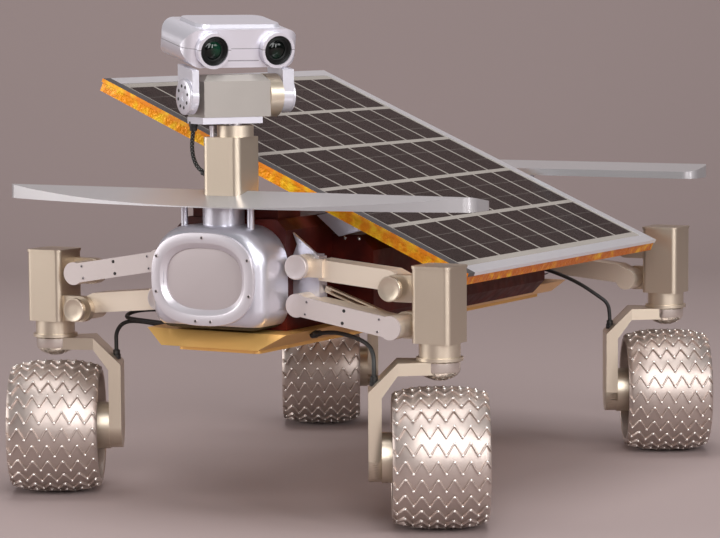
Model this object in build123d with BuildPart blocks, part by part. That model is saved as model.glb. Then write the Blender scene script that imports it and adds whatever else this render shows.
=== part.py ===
"""Small four-wheeled planetary rover, millimetres, standing on its wheels.

The origin is on the ground midway between the wheels. +Z is up, -Y is the end
with the camera mast, and +X is the right of someone who faces that end.
Each corner has a steering box on two parallel links, a cranked fork that turns
under it, and a hollow cleated wheel with its drive inside the rim.
"""
import os
from math import atan2, cos, degrees, radians, sin, sqrt, tan

from build123d import *

os.makedirs("parts", exist_ok=True)

# Wheels: hollow crowned drums with zigzag cleats
wheel_diameter = 130.0  # over the cleats
wheel_width = 88.0
cleat_height = 3.0
cleat_width = 2.2
cleat_rows = 24
cleat_bends = 5
cleat_swing = 9.0
crown_drop = 7.0
crown_flat = 22.0  # half the width of the level band
rim_wall = 3.0
web_thickness = 4.0
web_offset = 28.0
window_depth = 20.0
window_width = 22.0
window_radius = 35.0
window_count = 6
hub_diameter = 36.0
hub_set = 1.0  # behind the wheel's outer edge
drive_shaft_diameter = 12.0
shaft_depth = 11.0
shaft_clearance = 0.05
track_half = 213.5
wheelbase_half = 256.5
steer_angle = 30.0

# Forks and their drives
fork_thickness = 12.0
fork_width = 44.0
fork_gap = 9.0  # between the leg and the wheel's edge
fork_top = 153.5
fork_arm_height = 11.5
fork_cut = 26.5
fork_inner_set = 5.0  # how far the inner bend starts before the outer one
fork_end_inset = 1.0
fork_end_rise = 2.0
kingpin_cap_diameter = 35.0
kingpin_cap_low_diameter = 18.0
kingpin_cap_height = 17.5
kingpin_diameter = 12.0
kingpin_length = 14.0
drive_diameter = 46.0
running_gap = 5.5

# Steering boxes
box_side = 39.0
box_corner_radius = 5.0
box_height = 70.0
box_cap_height = 2.5
box_cap_overhang = 0.8
collar_diameter = 38.0
collar_height = 16.0
collar_flange_diameter = 43.0
collar_flange_height = 3.0
pivot_gap = 0.4
knuckle_diameter = 25.0
knuckle_thickness = 7.0

# Parallel links between the body and the steering boxes
link_inner_x = 76.3
link_eye_inset = 39.0  # from the kingpin to the outer eye
link_upper_z = 234.5
link_lower_z = 199.0
link_droop = 16.0
link_eye_diameter = 22.0
link_beam_height = 17.0
link_depth = 24.0
cover_link_face = 277.5
cover_thickness = 2.5
cover_beam_back = 249.5
knuckle_depth = 9.3
plain_link_face = 262.0
plain_beam_height = 19.3
plain_beam_start = 13.7  # from the inner eye
plain_beam_end = 10.0  # before the outer eye
plain_inner_drop = 3.4
plain_outer_rise = 5.9
plain_neck_height = 17.0
plain_neck_rise = 4.0
plain_neck_lap = 6.0
pin_cap_thickness = 5.5
pin_cap_boss_diameter = 16.0
strut_height = 6.0
strut_thickness = 5.0
strut_slot = 2.4
strut_back = 244.2
strut_start_x = 89.5
strut_gap = 1.5  # before the outer knuckle
strut_start_z = 212.6
strut_drop = 24.4
seat_gap = 0.3

# Brackets that carry the links
bracket_face = 258.0
bracket_thickness = 14.0
bracket_width = 28.2
bracket_top = 243.0
bracket_bottom = 189.0
bracket_root_width = 14.5
bracket_root_depth = 33.0
fin_thickness = 3.0
fin_top = 264.5
fin_waist = 4.5

# Body: silver end shells on a foil-wrapped box
shell_front_y = 317.0  # half the body's length
shell_back_y = 270.0
shell_width = 124.0
shell_bottom = 176.0
shell_top = 272.0
shell_corner_radius = 38.0
shell_edge_radius = 8.0
port_width = 112.0
port_height = 85.0
port_corner_radius = 38.0
port_centre_z = 222.5
port_rim = 14.0
port_depth = 6.0
port_proud = 2.0
port_bevel = 6.0
port_panel_thickness = 3.0
port_fit = 0.15
equipment_width = 210.0
equipment_half_length = 185.0
equipment_bottom = 170.0
equipment_top = 258.0
equipment_edge = 14.0
bay_width = 120.0
bay_top = 277.0
bay_set = 30.0  # from the hanger to the start of each end bay
bay_edge = 10.0
pad_half_width = 57.0
pad_start = 222.0
pad_end = 262.0

# Belly tray: its ends lean back from the floor to the rim
tray_top = 173.5
tray_bottom = 159.0
tray_rim_width = 153.0
tray_floor_width = 106.0
tray_end_inset = 7.0
tray_end_lean = 12.0
belly_plate_width = 90.0
belly_plate_margin = 15.0
belly_plate_thickness = 5.0
belly_plate_corner = 6.0
belly_hole_diameter = 5.5
belly_hole_spacing_x = 56.0
belly_hole_spacing_y = 480.0
cut_margin = 10.0  # how far a cutting block reaches past what it cuts

# End decks: wedge-shaped plates with a ridge, cut to a bow outside
deck_half_span = 255.5
deck_inner_y = 230.0
deck_ridge_y = 272.0
deck_bow_y = 319.0
deck_bottom = 289.5
deck_rear_lift = 3.0
deck_inner_thickness = 7.2
deck_ridge_thickness = 13.6
deck_bow_thickness = 1.0
deck_corner_radius = 13.0
deck_post_diameter = 6.5
deck_post_x = 36.5
deck_post_y = 293.0
deck_stub_diameter = 39.0
deck_stub_y = 282.0

# Mast and the pan and tilt head
mast_y = -268.0
mast_side = 40.0
mast_corner_radius = 6.0
mast_top = 353.0
pan_x = 5.0
mast_collar_diameter = 34.0
mast_collar_top = 363.6
pan_pin_diameter = 12.0
pan_pin_depth = 18.0
pan_rest = 58.0
tilt_rest = 10.5
tilt_z = 391.0
flange_left = -39.3
flange_right = 22.0
flange_depth = 34.0
flange_bottom = 365.6
block_left = -38.0
block_right = 30.0
block_centre_y = 4.0
block_depth = 36.0
block_bottom = 371.8
block_top = 411.0
block_edge = 6.0
tilt_motor_diameter = 40.6
tilt_motor_length = 13.4
tilt_pin_diameter = 10.0
ear_diameter = 33.0
ear_gap = 0.5
left_ear_space = 4.4
left_ear_thickness = 6.6
right_ear_thickness = 11.4
ear_neck_lean = 5.0
head_centre_x = 6.4
head_width = 118.0
head_bottom = 27.0  # above the tilt axis, as the rest of the head
head_seam = 45.0
head_top = 63.0
head_front = -2.0
head_back = 65.0
head_end_radius = 17.0
head_plan_radius = 14.0
lid_height = 3.0
lid_margin_x = 15.0
lid_margin_y = 7.0
lid_corner_radius = 12.0
lid_taper = 30.0
lens_spacing = 65.6
lens_height = 44.0
lens_diameter = 27.5
lens_thickness = 4.0
lens_ring_diameter = 33.5
lens_ring_front = -9.0
lens_recess = 2.0
lens_seat_depth = 12.0

# Solar panel on a hinge along the body
panel_length = 440.0  # down the slope
panel_width = 428.0
panel_thickness = 12.5
panel_margin = 13.0
panel_lip = 1.0
panel_frame_depth = 3.5
panel_cell_drop = 0.5
panel_tilt = 23.6
hinge_z = 273.0
panel_rise = 48.0
hanger_y = 120.0
hanger_thickness = 10.0
hanger_end_radius = 10.0
hanger_foot = 60.0
hinge_pin_diameter = 8.0
bearing_thickness = 10.0
bearing_width = 24.0
rail_start = 63.7  # down the slope from the hinge
rail_length = 38.4
rail_height = 15.0
rail_foot_start = 53.5
rail_foot_height = 7.0
rail_foot_end = 82.9
rail_thickness = 6.0
rail_y = -211.0

# Cables
cable_diameter = 4.0
cable_sides = 6
cable_reach = 59.5  # from the kingpin, clear of the fork's sweep
cable_end_z = 144.5
cable_share = 0.45  # of the shorter run, taken up by each bend


# Values that follow from the sizes above
wheel_radius = wheel_diameter / 2
axle_z = wheel_radius
drum_radius = wheel_radius - cleat_height
drum_bore = drum_radius - crown_drop - rim_wall
wheel_half = wheel_width / 2
leg_inner = wheel_half + fork_gap
leg_outer = leg_inner + fork_thickness
collar_bottom = fork_top + pivot_gap
box_bottom = collar_bottom + collar_height
box_top = box_bottom + box_height
body_side = bay_width / 2 + seat_gap
link_outer_x = track_half - link_eye_inset
strut_end_x = link_outer_x - knuckle_diameter / 2 - strut_gap
bay_start = hanger_y + bay_set
bay_end = shell_back_y - seat_gap
tray_floor_half_length = shell_front_y - tray_end_inset
tray_rim_half_length = tray_floor_half_length - tray_end_lean
motor_end = block_right + tilt_motor_length
left_ear_x = block_left - left_ear_space - left_ear_thickness
right_ear_x = motor_end + ear_gap
ears_table = [(left_ear_x, left_ear_thickness), (right_ear_x, right_ear_thickness)]
lens_places = [
    (head_centre_x - lens_spacing / 2, lens_height),
    (head_centre_x + lens_spacing / 2, lens_height),
]


def save(shape, name):
    """Label a finished piece and write it under its node's name."""
    shape.label = name
    export_step(shape, f"parts/{name}.step")


# Corners: name, side in X, end in Y, turn of the parts that face the body
corners = [
    ("front_right", 1, -1, 0.0),
    ("front_left", -1, -1, 180.0),
    ("rear_right", 1, 1, 0.0),
    ("rear_left", -1, 1, 180.0),
]



def layer(end, near, far):
    """The plane whose extrusion fills from near to far on the given end."""
    return Plane.XZ.offset(-end * near), -end * (far - near)


def save_together(shapes, name):
    """Write like pieces that share a body as one node."""
    with BuildPart() as together:
        for shape in shapes:
            add(shape)
    save(together.part, name)


# Wheel on the axle line along X: a crowned drum with one flat for each cleat
rim_sections = [
    (-wheel_half, drum_radius - crown_drop),
    (-crown_flat, drum_radius),
    (crown_flat, drum_radius),
    (wheel_half, drum_radius - crown_drop),
]
half_flat = 180.0 / cleat_rows
web_outside = web_offset + web_thickness
with BuildPart() as wheel:
    for (near_x, near_radius), (far_x, far_radius) in zip(rim_sections, rim_sections[1:]):
        for x, flat_radius in ((near_x, near_radius), (far_x, far_radius)):
            with BuildSketch(Plane.YZ.offset(x)):
                RegularPolygon(flat_radius, cleat_rows, major_radius=False, rotation=half_flat)
        loft(ruled=True)
    for x, depth in ((-wheel_half, wheel_half + web_offset), (web_outside, wheel_half - web_outside)):
        with BuildSketch(Plane.YZ.offset(x)):
            RegularPolygon(drum_bore, cleat_rows, major_radius=False, rotation=half_flat)
        extrude(amount=depth, mode=Mode.SUBTRACT)
    with BuildSketch(Plane.YZ.offset(web_outside)):
        Circle(hub_diameter / 2)
    extrude(amount=wheel_half - hub_set - web_outside)
    with BuildSketch(Plane.YZ.offset(web_offset)):
        with PolarLocations(window_radius, window_count):
            Rectangle(window_depth, window_width)
    extrude(amount=web_thickness, mode=Mode.SUBTRACT)
    with BuildSketch(Plane.YZ.offset(web_offset)):
        Circle(drive_shaft_diameter / 2 + shaft_clearance)
    extrude(amount=shaft_depth, mode=Mode.SUBTRACT)

# Cleat: a zigzag wall cut to the crown of the rim, repeated round it
cleat_pitch = wheel_width / cleat_bends
cleat_base = drum_radius - crown_drop - rim_wall / 2
wave = []
for n in range(cleat_bends + 1):
    swing = cleat_swing / 2 if n % 2 else -cleat_swing / 2
    wave.append((n * cleat_pitch - wheel_half, swing - cleat_width / 2))
shifted = [(x, y + cleat_width) for x, y in wave]
with BuildPart() as cleat:
    with BuildSketch(Plane.XY.offset(cleat_base)):
        with BuildLine():
            Polyline(*wave, *reversed(shifted), close=True)
        make_face()
    extrude(amount=wheel_radius - cleat_base)
    with BuildSketch(Plane.XZ):
        with BuildLine():
            Polyline(
                (-wheel_half, cleat_base),
                (-wheel_half, wheel_radius - crown_drop),
                (-crown_flat, wheel_radius),
                (crown_flat, wheel_radius),
                (wheel_half, wheel_radius - crown_drop),
                (wheel_half, cleat_base),
                close=True,
            )
        make_face()
    extrude(amount=cleat_swing + cleat_width, both=True, mode=Mode.INTERSECT)

with BuildPart() as cleated_wheel:
    add(wheel.part)
    for n in range(cleat_rows):
        add(cleat.part.rotate(Axis.X, n * 360.0 / cleat_rows))

# Fork: a flat bar cranked over the wheel, its leg on the body side
inner_cut = fork_cut - fork_thickness * (1 - tan(radians(22.5)))
arm_bottom = fork_top - fork_arm_height
with BuildPart() as fork:
    with BuildSketch(Plane.XZ.offset(-fork_width / 2)):
        with BuildLine():
            Polyline(
                (-leg_outer, axle_z),
                (-leg_outer, fork_top - fork_cut),
                (-leg_outer + fork_cut, fork_top),
                (0, fork_top),
                (0, arm_bottom),
                (-leg_inner + inner_cut - fork_inner_set, arm_bottom),
                (-leg_inner, fork_top - fork_cut - fork_inner_set),
                (-leg_inner, axle_z),
                close=True,
            )
        make_face()
    extrude(amount=fork_width)
    with BuildSketch(Plane.YZ.offset(-leg_outer)):
        with Locations((0, axle_z)):
            Circle(fork_width / 2)
    extrude(amount=fork_thickness)
    with Locations((0, 0, fork_top - kingpin_cap_height)):
        Cone(
            kingpin_cap_low_diameter / 2,
            kingpin_cap_diameter / 2,
            kingpin_cap_height - fork_arm_height + fork_end_rise,
            align=(Align.CENTER, Align.CENTER, Align.MIN),
        )
    with Locations((0, 0, fork_top)):
        Cylinder(
            fork_width / 2 - fork_end_inset,
            fork_arm_height - fork_end_rise,
            align=(Align.CENTER, Align.CENTER, Align.MAX),
        )
        Cylinder(
            kingpin_diameter / 2,
            kingpin_length,
            align=(Align.CENTER, Align.CENTER, Align.MIN),
        )

# Drive unit inside the drum, with the shaft that carries the wheel
drive_end = web_offset - running_gap
with BuildPart() as drive:
    with BuildSketch(Plane.YZ.offset(-leg_inner)):
        with Locations((0, axle_z)):
            Circle(drive_diameter / 2)
    extrude(amount=leg_inner + drive_end)
    with BuildSketch(Plane.YZ.offset(drive_end)):
        with Locations((0, axle_z)):
            Circle(drive_shaft_diameter / 2)
    extrude(amount=running_gap + shaft_depth - seat_gap)

# Steering box with its cap, its collar and the bore for the kingpin
with BuildPart() as steering_box:
    with BuildSketch(Plane.XY.offset(box_bottom)):
        RectangleRounded(box_side, box_side, box_corner_radius)
    extrude(amount=box_height - box_cap_height)
    with BuildSketch(Plane.XY.offset(box_top - box_cap_height)):
        cap_side = box_side + 2 * box_cap_overhang
        RectangleRounded(cap_side, cap_side, box_corner_radius + box_cap_overhang)
    extrude(amount=box_cap_height)
    with BuildSketch(Plane.XY.offset(collar_bottom)):
        Circle(collar_diameter / 2)
    extrude(amount=collar_height)
    with BuildSketch(Plane.XY.offset(collar_bottom)):
        Circle(collar_flange_diameter / 2)
    extrude(amount=collar_flange_height)
    with BuildSketch(Plane.XY.offset(collar_bottom)):
        Circle(kingpin_diameter / 2 + shaft_clearance)
    extrude(amount=kingpin_length + seat_gap, mode=Mode.SUBTRACT)

for name, side, end, turn in corners:
    crabbed = Location((side * track_half, end * wheelbase_half, 0), (0, 0, turn + steer_angle))
    save(fork.part.moved(crabbed), f"fork_{name}")
    save(drive.part.moved(crabbed), f"drive_{name}")
    save(cleated_wheel.part.moved(crabbed * Location((0, 0, axle_z))), f"wheel_{name}")


# Links: name, side, end, level of the link with the flat cover
link_table = [
    ("front_right", 1, -1, "lower"),
    ("front_left", -1, -1, "upper"),
    ("rear_left", -1, 1, "lower"),
    ("rear_right", 1, 1, "upper"),
]
link_levels = {"upper": link_upper_z, "lower": link_lower_z}
link_run = sqrt((link_outer_x - link_inner_x) ** 2 + link_droop**2)
knuckle_reach = track_half - box_side / 2 + seat_gap - link_outer_x
plain_start_x = link_inner_x + plain_beam_start
plain_end_x = link_outer_x - plain_beam_end
links = []
link_covers = []
link_struts = []
steering_boxes = []


def dog_bone(side, level_z, beam):
    """Outline of a link seen along Y: two round eyes joined by a beam."""
    inner_eye = (side * link_inner_x, level_z)
    outer_eye = (side * link_outer_x, level_z - link_droop)
    middle = ((inner_eye[0] + outer_eye[0]) / 2, (inner_eye[1] + outer_eye[1]) / 2)
    droop_angle = degrees(atan2(outer_eye[1] - inner_eye[1], outer_eye[0] - inner_eye[0]))
    with Locations(inner_eye, outer_eye):
        Circle(link_eye_diameter / 2)
    with Locations(Location((*middle, 0), (0, 0, droop_angle))):
        Rectangle(link_run, beam)


for name, side, end, cover_level in link_table:
    covered_z = link_levels[cover_level]
    plain_z = sum(link_levels.values()) - covered_z

    with BuildPart() as covered_link:
        plane, depth = layer(end, bracket_face + seat_gap, cover_link_face)
        with BuildSketch(plane):
            dog_bone(side, covered_z, link_beam_height)
        extrude(amount=depth)
        plane, depth = layer(end, cover_beam_back, bracket_face + seat_gap)
        with BuildSketch(plane):
            dog_bone(side, covered_z, link_beam_height)
            with Locations((side * link_inner_x, covered_z)):
                Rectangle(2 * plain_beam_start, 2 * link_depth, mode=Mode.SUBTRACT)
        extrude(amount=depth)
    links.append(covered_link.part)

    with BuildPart() as cover:
        plane, depth = layer(end, cover_link_face, cover_link_face + cover_thickness)
        with BuildSketch(plane):
            dog_bone(side, covered_z, link_beam_height + 2 * box_cap_overhang)
        extrude(amount=depth)
    link_covers.append(cover.part)

    with BuildPart() as plain_link:
        beam_z = plain_z - plain_inner_drop - plain_beam_height / 2
        beam_end_z = plain_z - link_droop + plain_outer_rise - plain_beam_height / 2
        plane, depth = layer(end, plain_link_face - link_depth, plain_link_face)
        with BuildSketch(plane):
            with BuildLine():
                Polyline(
                    (side * plain_start_x, beam_z),
                    (side * plain_start_x, beam_z + plain_beam_height),
                    (side * plain_end_x, beam_end_z + plain_beam_height),
                    (side * link_outer_x, plain_z - link_droop + link_eye_diameter / 2),
                    (side * link_outer_x, plain_z - link_droop - link_eye_diameter / 2),
                    (side * plain_end_x, beam_end_z),
                    close=True,
                )
            make_face()
            with Locations((side * link_outer_x, plain_z - link_droop)):
                Circle(link_eye_diameter / 2)
        extrude(amount=depth)
        neck_face = plain_link_face + plain_neck_rise
        plane, depth = layer(end, bracket_face + seat_gap, neck_face)
        neck_length = plain_beam_start + plain_neck_lap
        with BuildSketch(plane):
            with Locations((side * link_inner_x, plain_z)):
                Circle(link_eye_diameter / 2)
            with Locations((side * (link_inner_x + neck_length / 2), plain_z - plain_inner_drop / 2)):
                Rectangle(neck_length, plain_neck_height)
        extrude(amount=depth)
        cap_face = cover_link_face + cover_thickness
        cap_back = cap_face - pin_cap_thickness
        for diameter, near, far in (
            (pin_cap_boss_diameter, neck_face, cap_back),
            (link_eye_diameter, cap_back, cap_face),
        ):
            plane, depth = layer(end, near, far)
            with BuildSketch(plane):
                with Locations((side * link_inner_x, plain_z)):
                    Circle(diameter / 2)
            extrude(amount=depth)
    links.append(plain_link.part)

    with BuildPart() as box:
        add(steering_box.part.moved(Location((side * track_half, end * wheelbase_half, 0))))
        knuckle_back = cover_beam_back - seat_gap - knuckle_depth
        for eye_z, near, far in (
            (covered_z - link_droop, knuckle_back, knuckle_back + knuckle_depth),
            (plain_z - link_droop, plain_link_face + seat_gap, plain_link_face + seat_gap + knuckle_thickness),
        ):
            plane, depth = layer(end, near, far)
            with BuildSketch(plane):
                with Locations((side * link_outer_x, eye_z)):
                    Circle(knuckle_diameter / 2)
                with Locations((side * (link_outer_x + knuckle_reach / 2), eye_z)):
                    Rectangle(knuckle_reach, knuckle_diameter)
            extrude(amount=depth)
    steering_boxes.append(box.part)

    if cover_level == "lower":
        with BuildPart() as strut:
            strut_length = sqrt((strut_end_x - strut_start_x) ** 2 + strut_drop**2)
            strut_angle = -side * degrees(atan2(strut_drop, strut_end_x - strut_start_x))
            strut_middle = (side * (strut_start_x + strut_end_x) / 2, strut_start_z - strut_drop / 2)
            plane, depth = layer(end, strut_back, strut_back + strut_thickness)
            with BuildSketch(plane):
                with Locations(Location((*strut_middle, 0), (0, 0, strut_angle))):
                    Rectangle(strut_length, strut_height)
                    SlotOverall(strut_length - 2 * strut_height, strut_slot, mode=Mode.SUBTRACT)
            extrude(amount=depth)
        link_struts.append(strut.part)

save_together(links, "links")
save_together(link_covers, "link_covers")
save_together(link_struts, "link_struts")
save_together(steering_boxes, "steering_boxes")

# Brackets that hold the links beside the end bays, each with a fin on top
brackets = []
bracket_middle_z = (bracket_top + bracket_bottom) / 2
for name, side, end, cover_level in link_table:
    with BuildPart() as bracket:
        plane, depth = layer(end, bracket_face - bracket_thickness, bracket_face)
        with BuildSketch(plane):
            with Locations((side * (body_side + bracket_width / 2), bracket_middle_z)):
                Rectangle(bracket_width, bracket_top - bracket_bottom)
        extrude(amount=depth)
        plane, depth = layer(end, bracket_face - bracket_root_depth, bracket_face)
        with BuildSketch(plane):
            with Locations((side * (body_side + bracket_root_width / 2), bracket_middle_z)):
                Rectangle(bracket_root_width, bracket_top - bracket_bottom)
        extrude(amount=depth)
        plane, depth = layer(end, bracket_face - fin_thickness, bracket_face)
        with BuildSketch(plane):
            with BuildLine():
                Polyline(
                    (side * body_side, bracket_top),
                    (side * (body_side + fin_waist), (bracket_top + fin_top) / 2),
                    (side * body_side, fin_top),
                    (side * (body_side + bracket_width), bracket_top),
                    close=True,
                )
            make_face()
        extrude(amount=depth)
    brackets.append(bracket.part)
save_together(brackets, "link_brackets")

# End shells, each with a pocket that holds its oval port
end_shells = []
port_rings = []
port_panels = []
for end in (-1, 1):
    with BuildPart() as shell:
        plane, depth = layer(end, shell_back_y, shell_front_y)
        with BuildSketch(plane):
            with Locations((0, (shell_top + shell_bottom) / 2)):
                RectangleRounded(shell_width, shell_top - shell_bottom, shell_corner_radius)
        extrude(amount=depth)
        outer_face = shell.faces().sort_by(Axis.Y)[0 if end < 0 else -1]
        fillet(outer_face.edges(), shell_edge_radius)
        plane, depth = layer(end, shell_front_y - port_depth, shell_front_y)
        with BuildSketch(plane):
            with Locations((0, port_centre_z)):
                RectangleRounded(port_width, port_height, port_corner_radius)
        extrude(amount=depth, mode=Mode.SUBTRACT)
    end_shells.append(shell.part)

    ring_width = port_width - 2 * port_fit
    ring_height = port_height - 2 * port_fit
    open_width = port_width - 2 * port_rim
    open_height = port_height - 2 * port_rim
    open_radius = port_corner_radius - port_rim
    with BuildPart() as port_ring:
        plane, depth = layer(end, shell_front_y - port_depth, shell_front_y + port_proud)
        with BuildSketch(plane):
            with Locations((0, port_centre_z)):
                RectangleRounded(ring_width, ring_height, port_corner_radius - port_fit)
                RectangleRounded(open_width, open_height, open_radius, mode=Mode.SUBTRACT)
        extrude(amount=depth)
        ring_face = port_ring.faces().sort_by(Axis.Y)[0 if end < 0 else -1]
        chamfer(ring_face.inner_wires().edges(), port_bevel)
    port_rings.append(port_ring.part)

    with BuildPart() as port_panel:
        floor = shell_front_y - port_depth
        plane, depth = layer(end, floor, floor + port_panel_thickness)
        with BuildSketch(plane):
            with Locations((0, port_centre_z)):
                RectangleRounded(
                    open_width - 2 * port_fit, open_height - 2 * port_fit, open_radius - port_fit
                )
        extrude(amount=depth)
    port_panels.append(port_panel.part)

save_together(end_shells, "end_shells")
save_together(port_rings, "port_rings")
save_together(port_panels, "port_panels")

# Equipment box in dark foil: main box, a narrower bay at each end, deck pads
with BuildPart() as equipment:
    with BuildSketch(Plane.XZ.offset(-equipment_half_length)):
        with Locations((0, (equipment_top + equipment_bottom) / 2)):
            Rectangle(equipment_width, equipment_top - equipment_bottom)
    extrude(amount=2 * equipment_half_length)
    chamfer(equipment.edges().filter_by(Axis.Y), equipment_edge)
    for end, lift in ((-1, 0.0), (1, deck_rear_lift)):
        plane, depth = layer(end, bay_start, bay_end)
        with BuildSketch(plane):
            with BuildLine():
                Polyline(
                    (-bay_width / 2, tray_top + seat_gap),
                    (-bay_width / 2, bay_top - bay_edge),
                    (-bay_width / 2 + bay_edge, bay_top),
                    (bay_width / 2 - bay_edge, bay_top),
                    (bay_width / 2, bay_top - bay_edge),
                    (bay_width / 2, tray_top + seat_gap),
                    close=True,
                )
            make_face()
        extrude(amount=depth)
        plane, depth = layer(end, pad_start, pad_end)
        pad_top = deck_bottom + lift - seat_gap
        with BuildSketch(plane):
            with Locations((0, (pad_top + equipment_top) / 2)):
                Rectangle(2 * pad_half_width - 2 * bay_edge, pad_top - equipment_top)
        extrude(amount=depth)
save(equipment.part, "equipment_box")

# Belly tray with flared sides and ends that lean back, the plate under it
with BuildPart() as tray:
    with BuildSketch(Plane.XY.offset(tray_bottom)):
        Rectangle(tray_floor_width, 2 * tray_floor_half_length)
    with BuildSketch(Plane.XY.offset(tray_top)):
        Rectangle(tray_rim_width, 2 * tray_rim_half_length)
    loft()
    with BuildSketch(Plane.XY.offset(equipment_bottom - seat_gap)):
        Rectangle(tray_rim_width + cut_margin, 2 * equipment_half_length + 2 * seat_gap)
    extrude(amount=cut_margin, mode=Mode.SUBTRACT)
save(tray.part, "belly_tray")

with BuildPart() as belly_plate:
    with BuildSketch(Plane.XY.offset(tray_bottom - belly_plate_thickness)):
        plate_length = 2 * (tray_floor_half_length - belly_plate_margin)
        RectangleRounded(belly_plate_width, plate_length, belly_plate_corner)
        with GridLocations(belly_hole_spacing_x, belly_hole_spacing_y, 2, 2):
            Circle(belly_hole_diameter / 2, mode=Mode.SUBTRACT)
    extrude(amount=belly_plate_thickness)
save(belly_plate.part, "belly_plate")

# End decks: a wedge section run along X, cut to a bow in plan, on posts
decks = []
deck_posts = []
for end, lift in ((-1, 0.0), (1, deck_rear_lift)):
    under = deck_bottom + lift
    with BuildPart() as deck:
        with BuildSketch(Plane.YZ.offset(-deck_half_span)):
            with BuildLine():
                Polyline(
                    (end * deck_inner_y, under),
                    (end * deck_inner_y, under + deck_inner_thickness),
                    (end * deck_ridge_y, under + deck_ridge_thickness),
                    (end * deck_bow_y, under + deck_bow_thickness),
                    (end * deck_bow_y, under),
                    close=True,
                )
            make_face()
        extrude(amount=2 * deck_half_span)
        with BuildSketch(Plane.XY.offset(under)) as outline:
            with BuildLine():
                Polyline(
                    (-deck_half_span, end * deck_ridge_y),
                    (-deck_half_span, end * deck_inner_y),
                    (deck_half_span, end * deck_inner_y),
                    (deck_half_span, end * deck_ridge_y),
                )
                ThreePointArc(
                    (deck_half_span, end * deck_ridge_y),
                    (0, end * deck_bow_y),
                    (-deck_half_span, end * deck_ridge_y),
                )
            make_face()
            fillet(outline.vertices(), deck_corner_radius)
        extrude(amount=deck_ridge_thickness, mode=Mode.INTERSECT)
        if end < 0:
            with BuildSketch(Plane.XY.offset(under)):
                with Locations((0, mast_y)):
                    mast_hole = mast_side + 2 * seat_gap
                    RectangleRounded(mast_hole, mast_hole, mast_corner_radius)
            extrude(amount=deck_ridge_thickness, mode=Mode.SUBTRACT)
    decks.append(deck.part)

    for x in (-deck_post_x, deck_post_x):
        with BuildPart() as post:
            with BuildSketch(Plane.XY.offset(shell_top - shell_corner_radius)):
                with Locations((x, end * deck_post_y)):
                    Circle(deck_post_diameter / 2)
            extrude(amount=under - seat_gap - shell_top + shell_corner_radius)
            plane, depth = layer(end, shell_back_y, shell_front_y)
            with BuildSketch(plane):
                with Locations((0, (shell_top + shell_bottom) / 2)):
                    RectangleRounded(shell_width, shell_top - shell_bottom, shell_corner_radius)
            extrude(amount=depth, mode=Mode.SUBTRACT)
        deck_posts.append(post.part)
    with BuildPart() as stub:
        with BuildSketch(Plane.XY.offset(shell_top)):
            with Locations((0, end * deck_stub_y)):
                Circle(deck_stub_diameter / 2)
        extrude(amount=under - seat_gap - shell_top)
        plane, depth = layer(end, pad_start, shell_back_y)
        with BuildSketch(plane):
            with Locations((0, shell_top)):
                Rectangle(bay_width, 2 * (bay_top + seat_gap - shell_top))
        extrude(amount=depth, mode=Mode.SUBTRACT)
    deck_posts.append(stub.part)
save_together(decks, "decks")
save_together(deck_posts, "deck_posts")

# Mast, with the bore that the pan unit turns in
with BuildPart() as mast:
    with BuildSketch(Plane.XY.offset(deck_bottom)):
        with Locations((0, mast_y)):
            RectangleRounded(mast_side, mast_side, mast_corner_radius)
    extrude(amount=mast_top - deck_bottom)
    with BuildSketch(Plane.XY.offset(mast_top)):
        with Locations((pan_x, mast_y)):
            Circle(mast_collar_diameter / 2)
    extrude(amount=mast_collar_top - mast_top)
    with BuildSketch(Plane.XY.offset(mast_top - pan_pin_depth - seat_gap)):
        with Locations((pan_x, mast_y)):
            Circle(pan_pin_diameter / 2 + shaft_clearance)
    extrude(amount=mast_collar_top - mast_top + pan_pin_depth + seat_gap, mode=Mode.SUBTRACT)
save(mast.part, "mast")

# Pan unit, turned about the mast's axis; its own -Y is where the head looks
pan_plane = Plane(
    origin=(pan_x, mast_y, 0),
    x_dir=(cos(radians(pan_rest)), sin(radians(pan_rest)), 0),
    z_dir=(0, 0, 1),
)
tilt_origin = pan_plane.from_local_coords(Vector(0, block_centre_y, tilt_z))
tilt_axis_plane = Plane(origin=tilt_origin, x_dir=pan_plane.y_dir, z_dir=pan_plane.x_dir)
with BuildPart() as pan_block:
    with BuildSketch(pan_plane.offset(block_bottom)):
        with Locations(((block_left + block_right) / 2, block_centre_y)):
            Rectangle(block_right - block_left, block_depth)
    extrude(amount=block_top - block_bottom)
    top_face = pan_block.faces().sort_by(Axis.Z)[-1]
    chamfer(top_face.edges(), block_edge)
    with BuildSketch(pan_plane.offset(flange_bottom)):
        with Locations(((flange_left + flange_right) / 2, block_centre_y)):
            Rectangle(flange_right - flange_left, flange_depth)
    extrude(amount=block_bottom - flange_bottom)
    with BuildSketch(pan_plane.offset(mast_top - pan_pin_depth)):
        Circle(pan_pin_diameter / 2)
    extrude(amount=flange_bottom - mast_top + pan_pin_depth)
    with BuildSketch(tilt_axis_plane.offset(left_ear_x + seat_gap)):
        Circle(tilt_pin_diameter / 2)
    extrude(amount=block_left - left_ear_x - seat_gap)
save(pan_block.part, "pan_block")

with BuildPart() as tilt_motor:
    with BuildSketch(tilt_axis_plane.offset(block_right)):
        Circle(tilt_motor_diameter / 2)
    extrude(amount=tilt_motor_length)
    with BuildSketch(tilt_axis_plane.offset(motor_end)):
        Circle(tilt_pin_diameter / 2)
    extrude(amount=ear_gap + right_ear_thickness - seat_gap)
save(tilt_motor.part, "tilt_motor")

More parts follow.
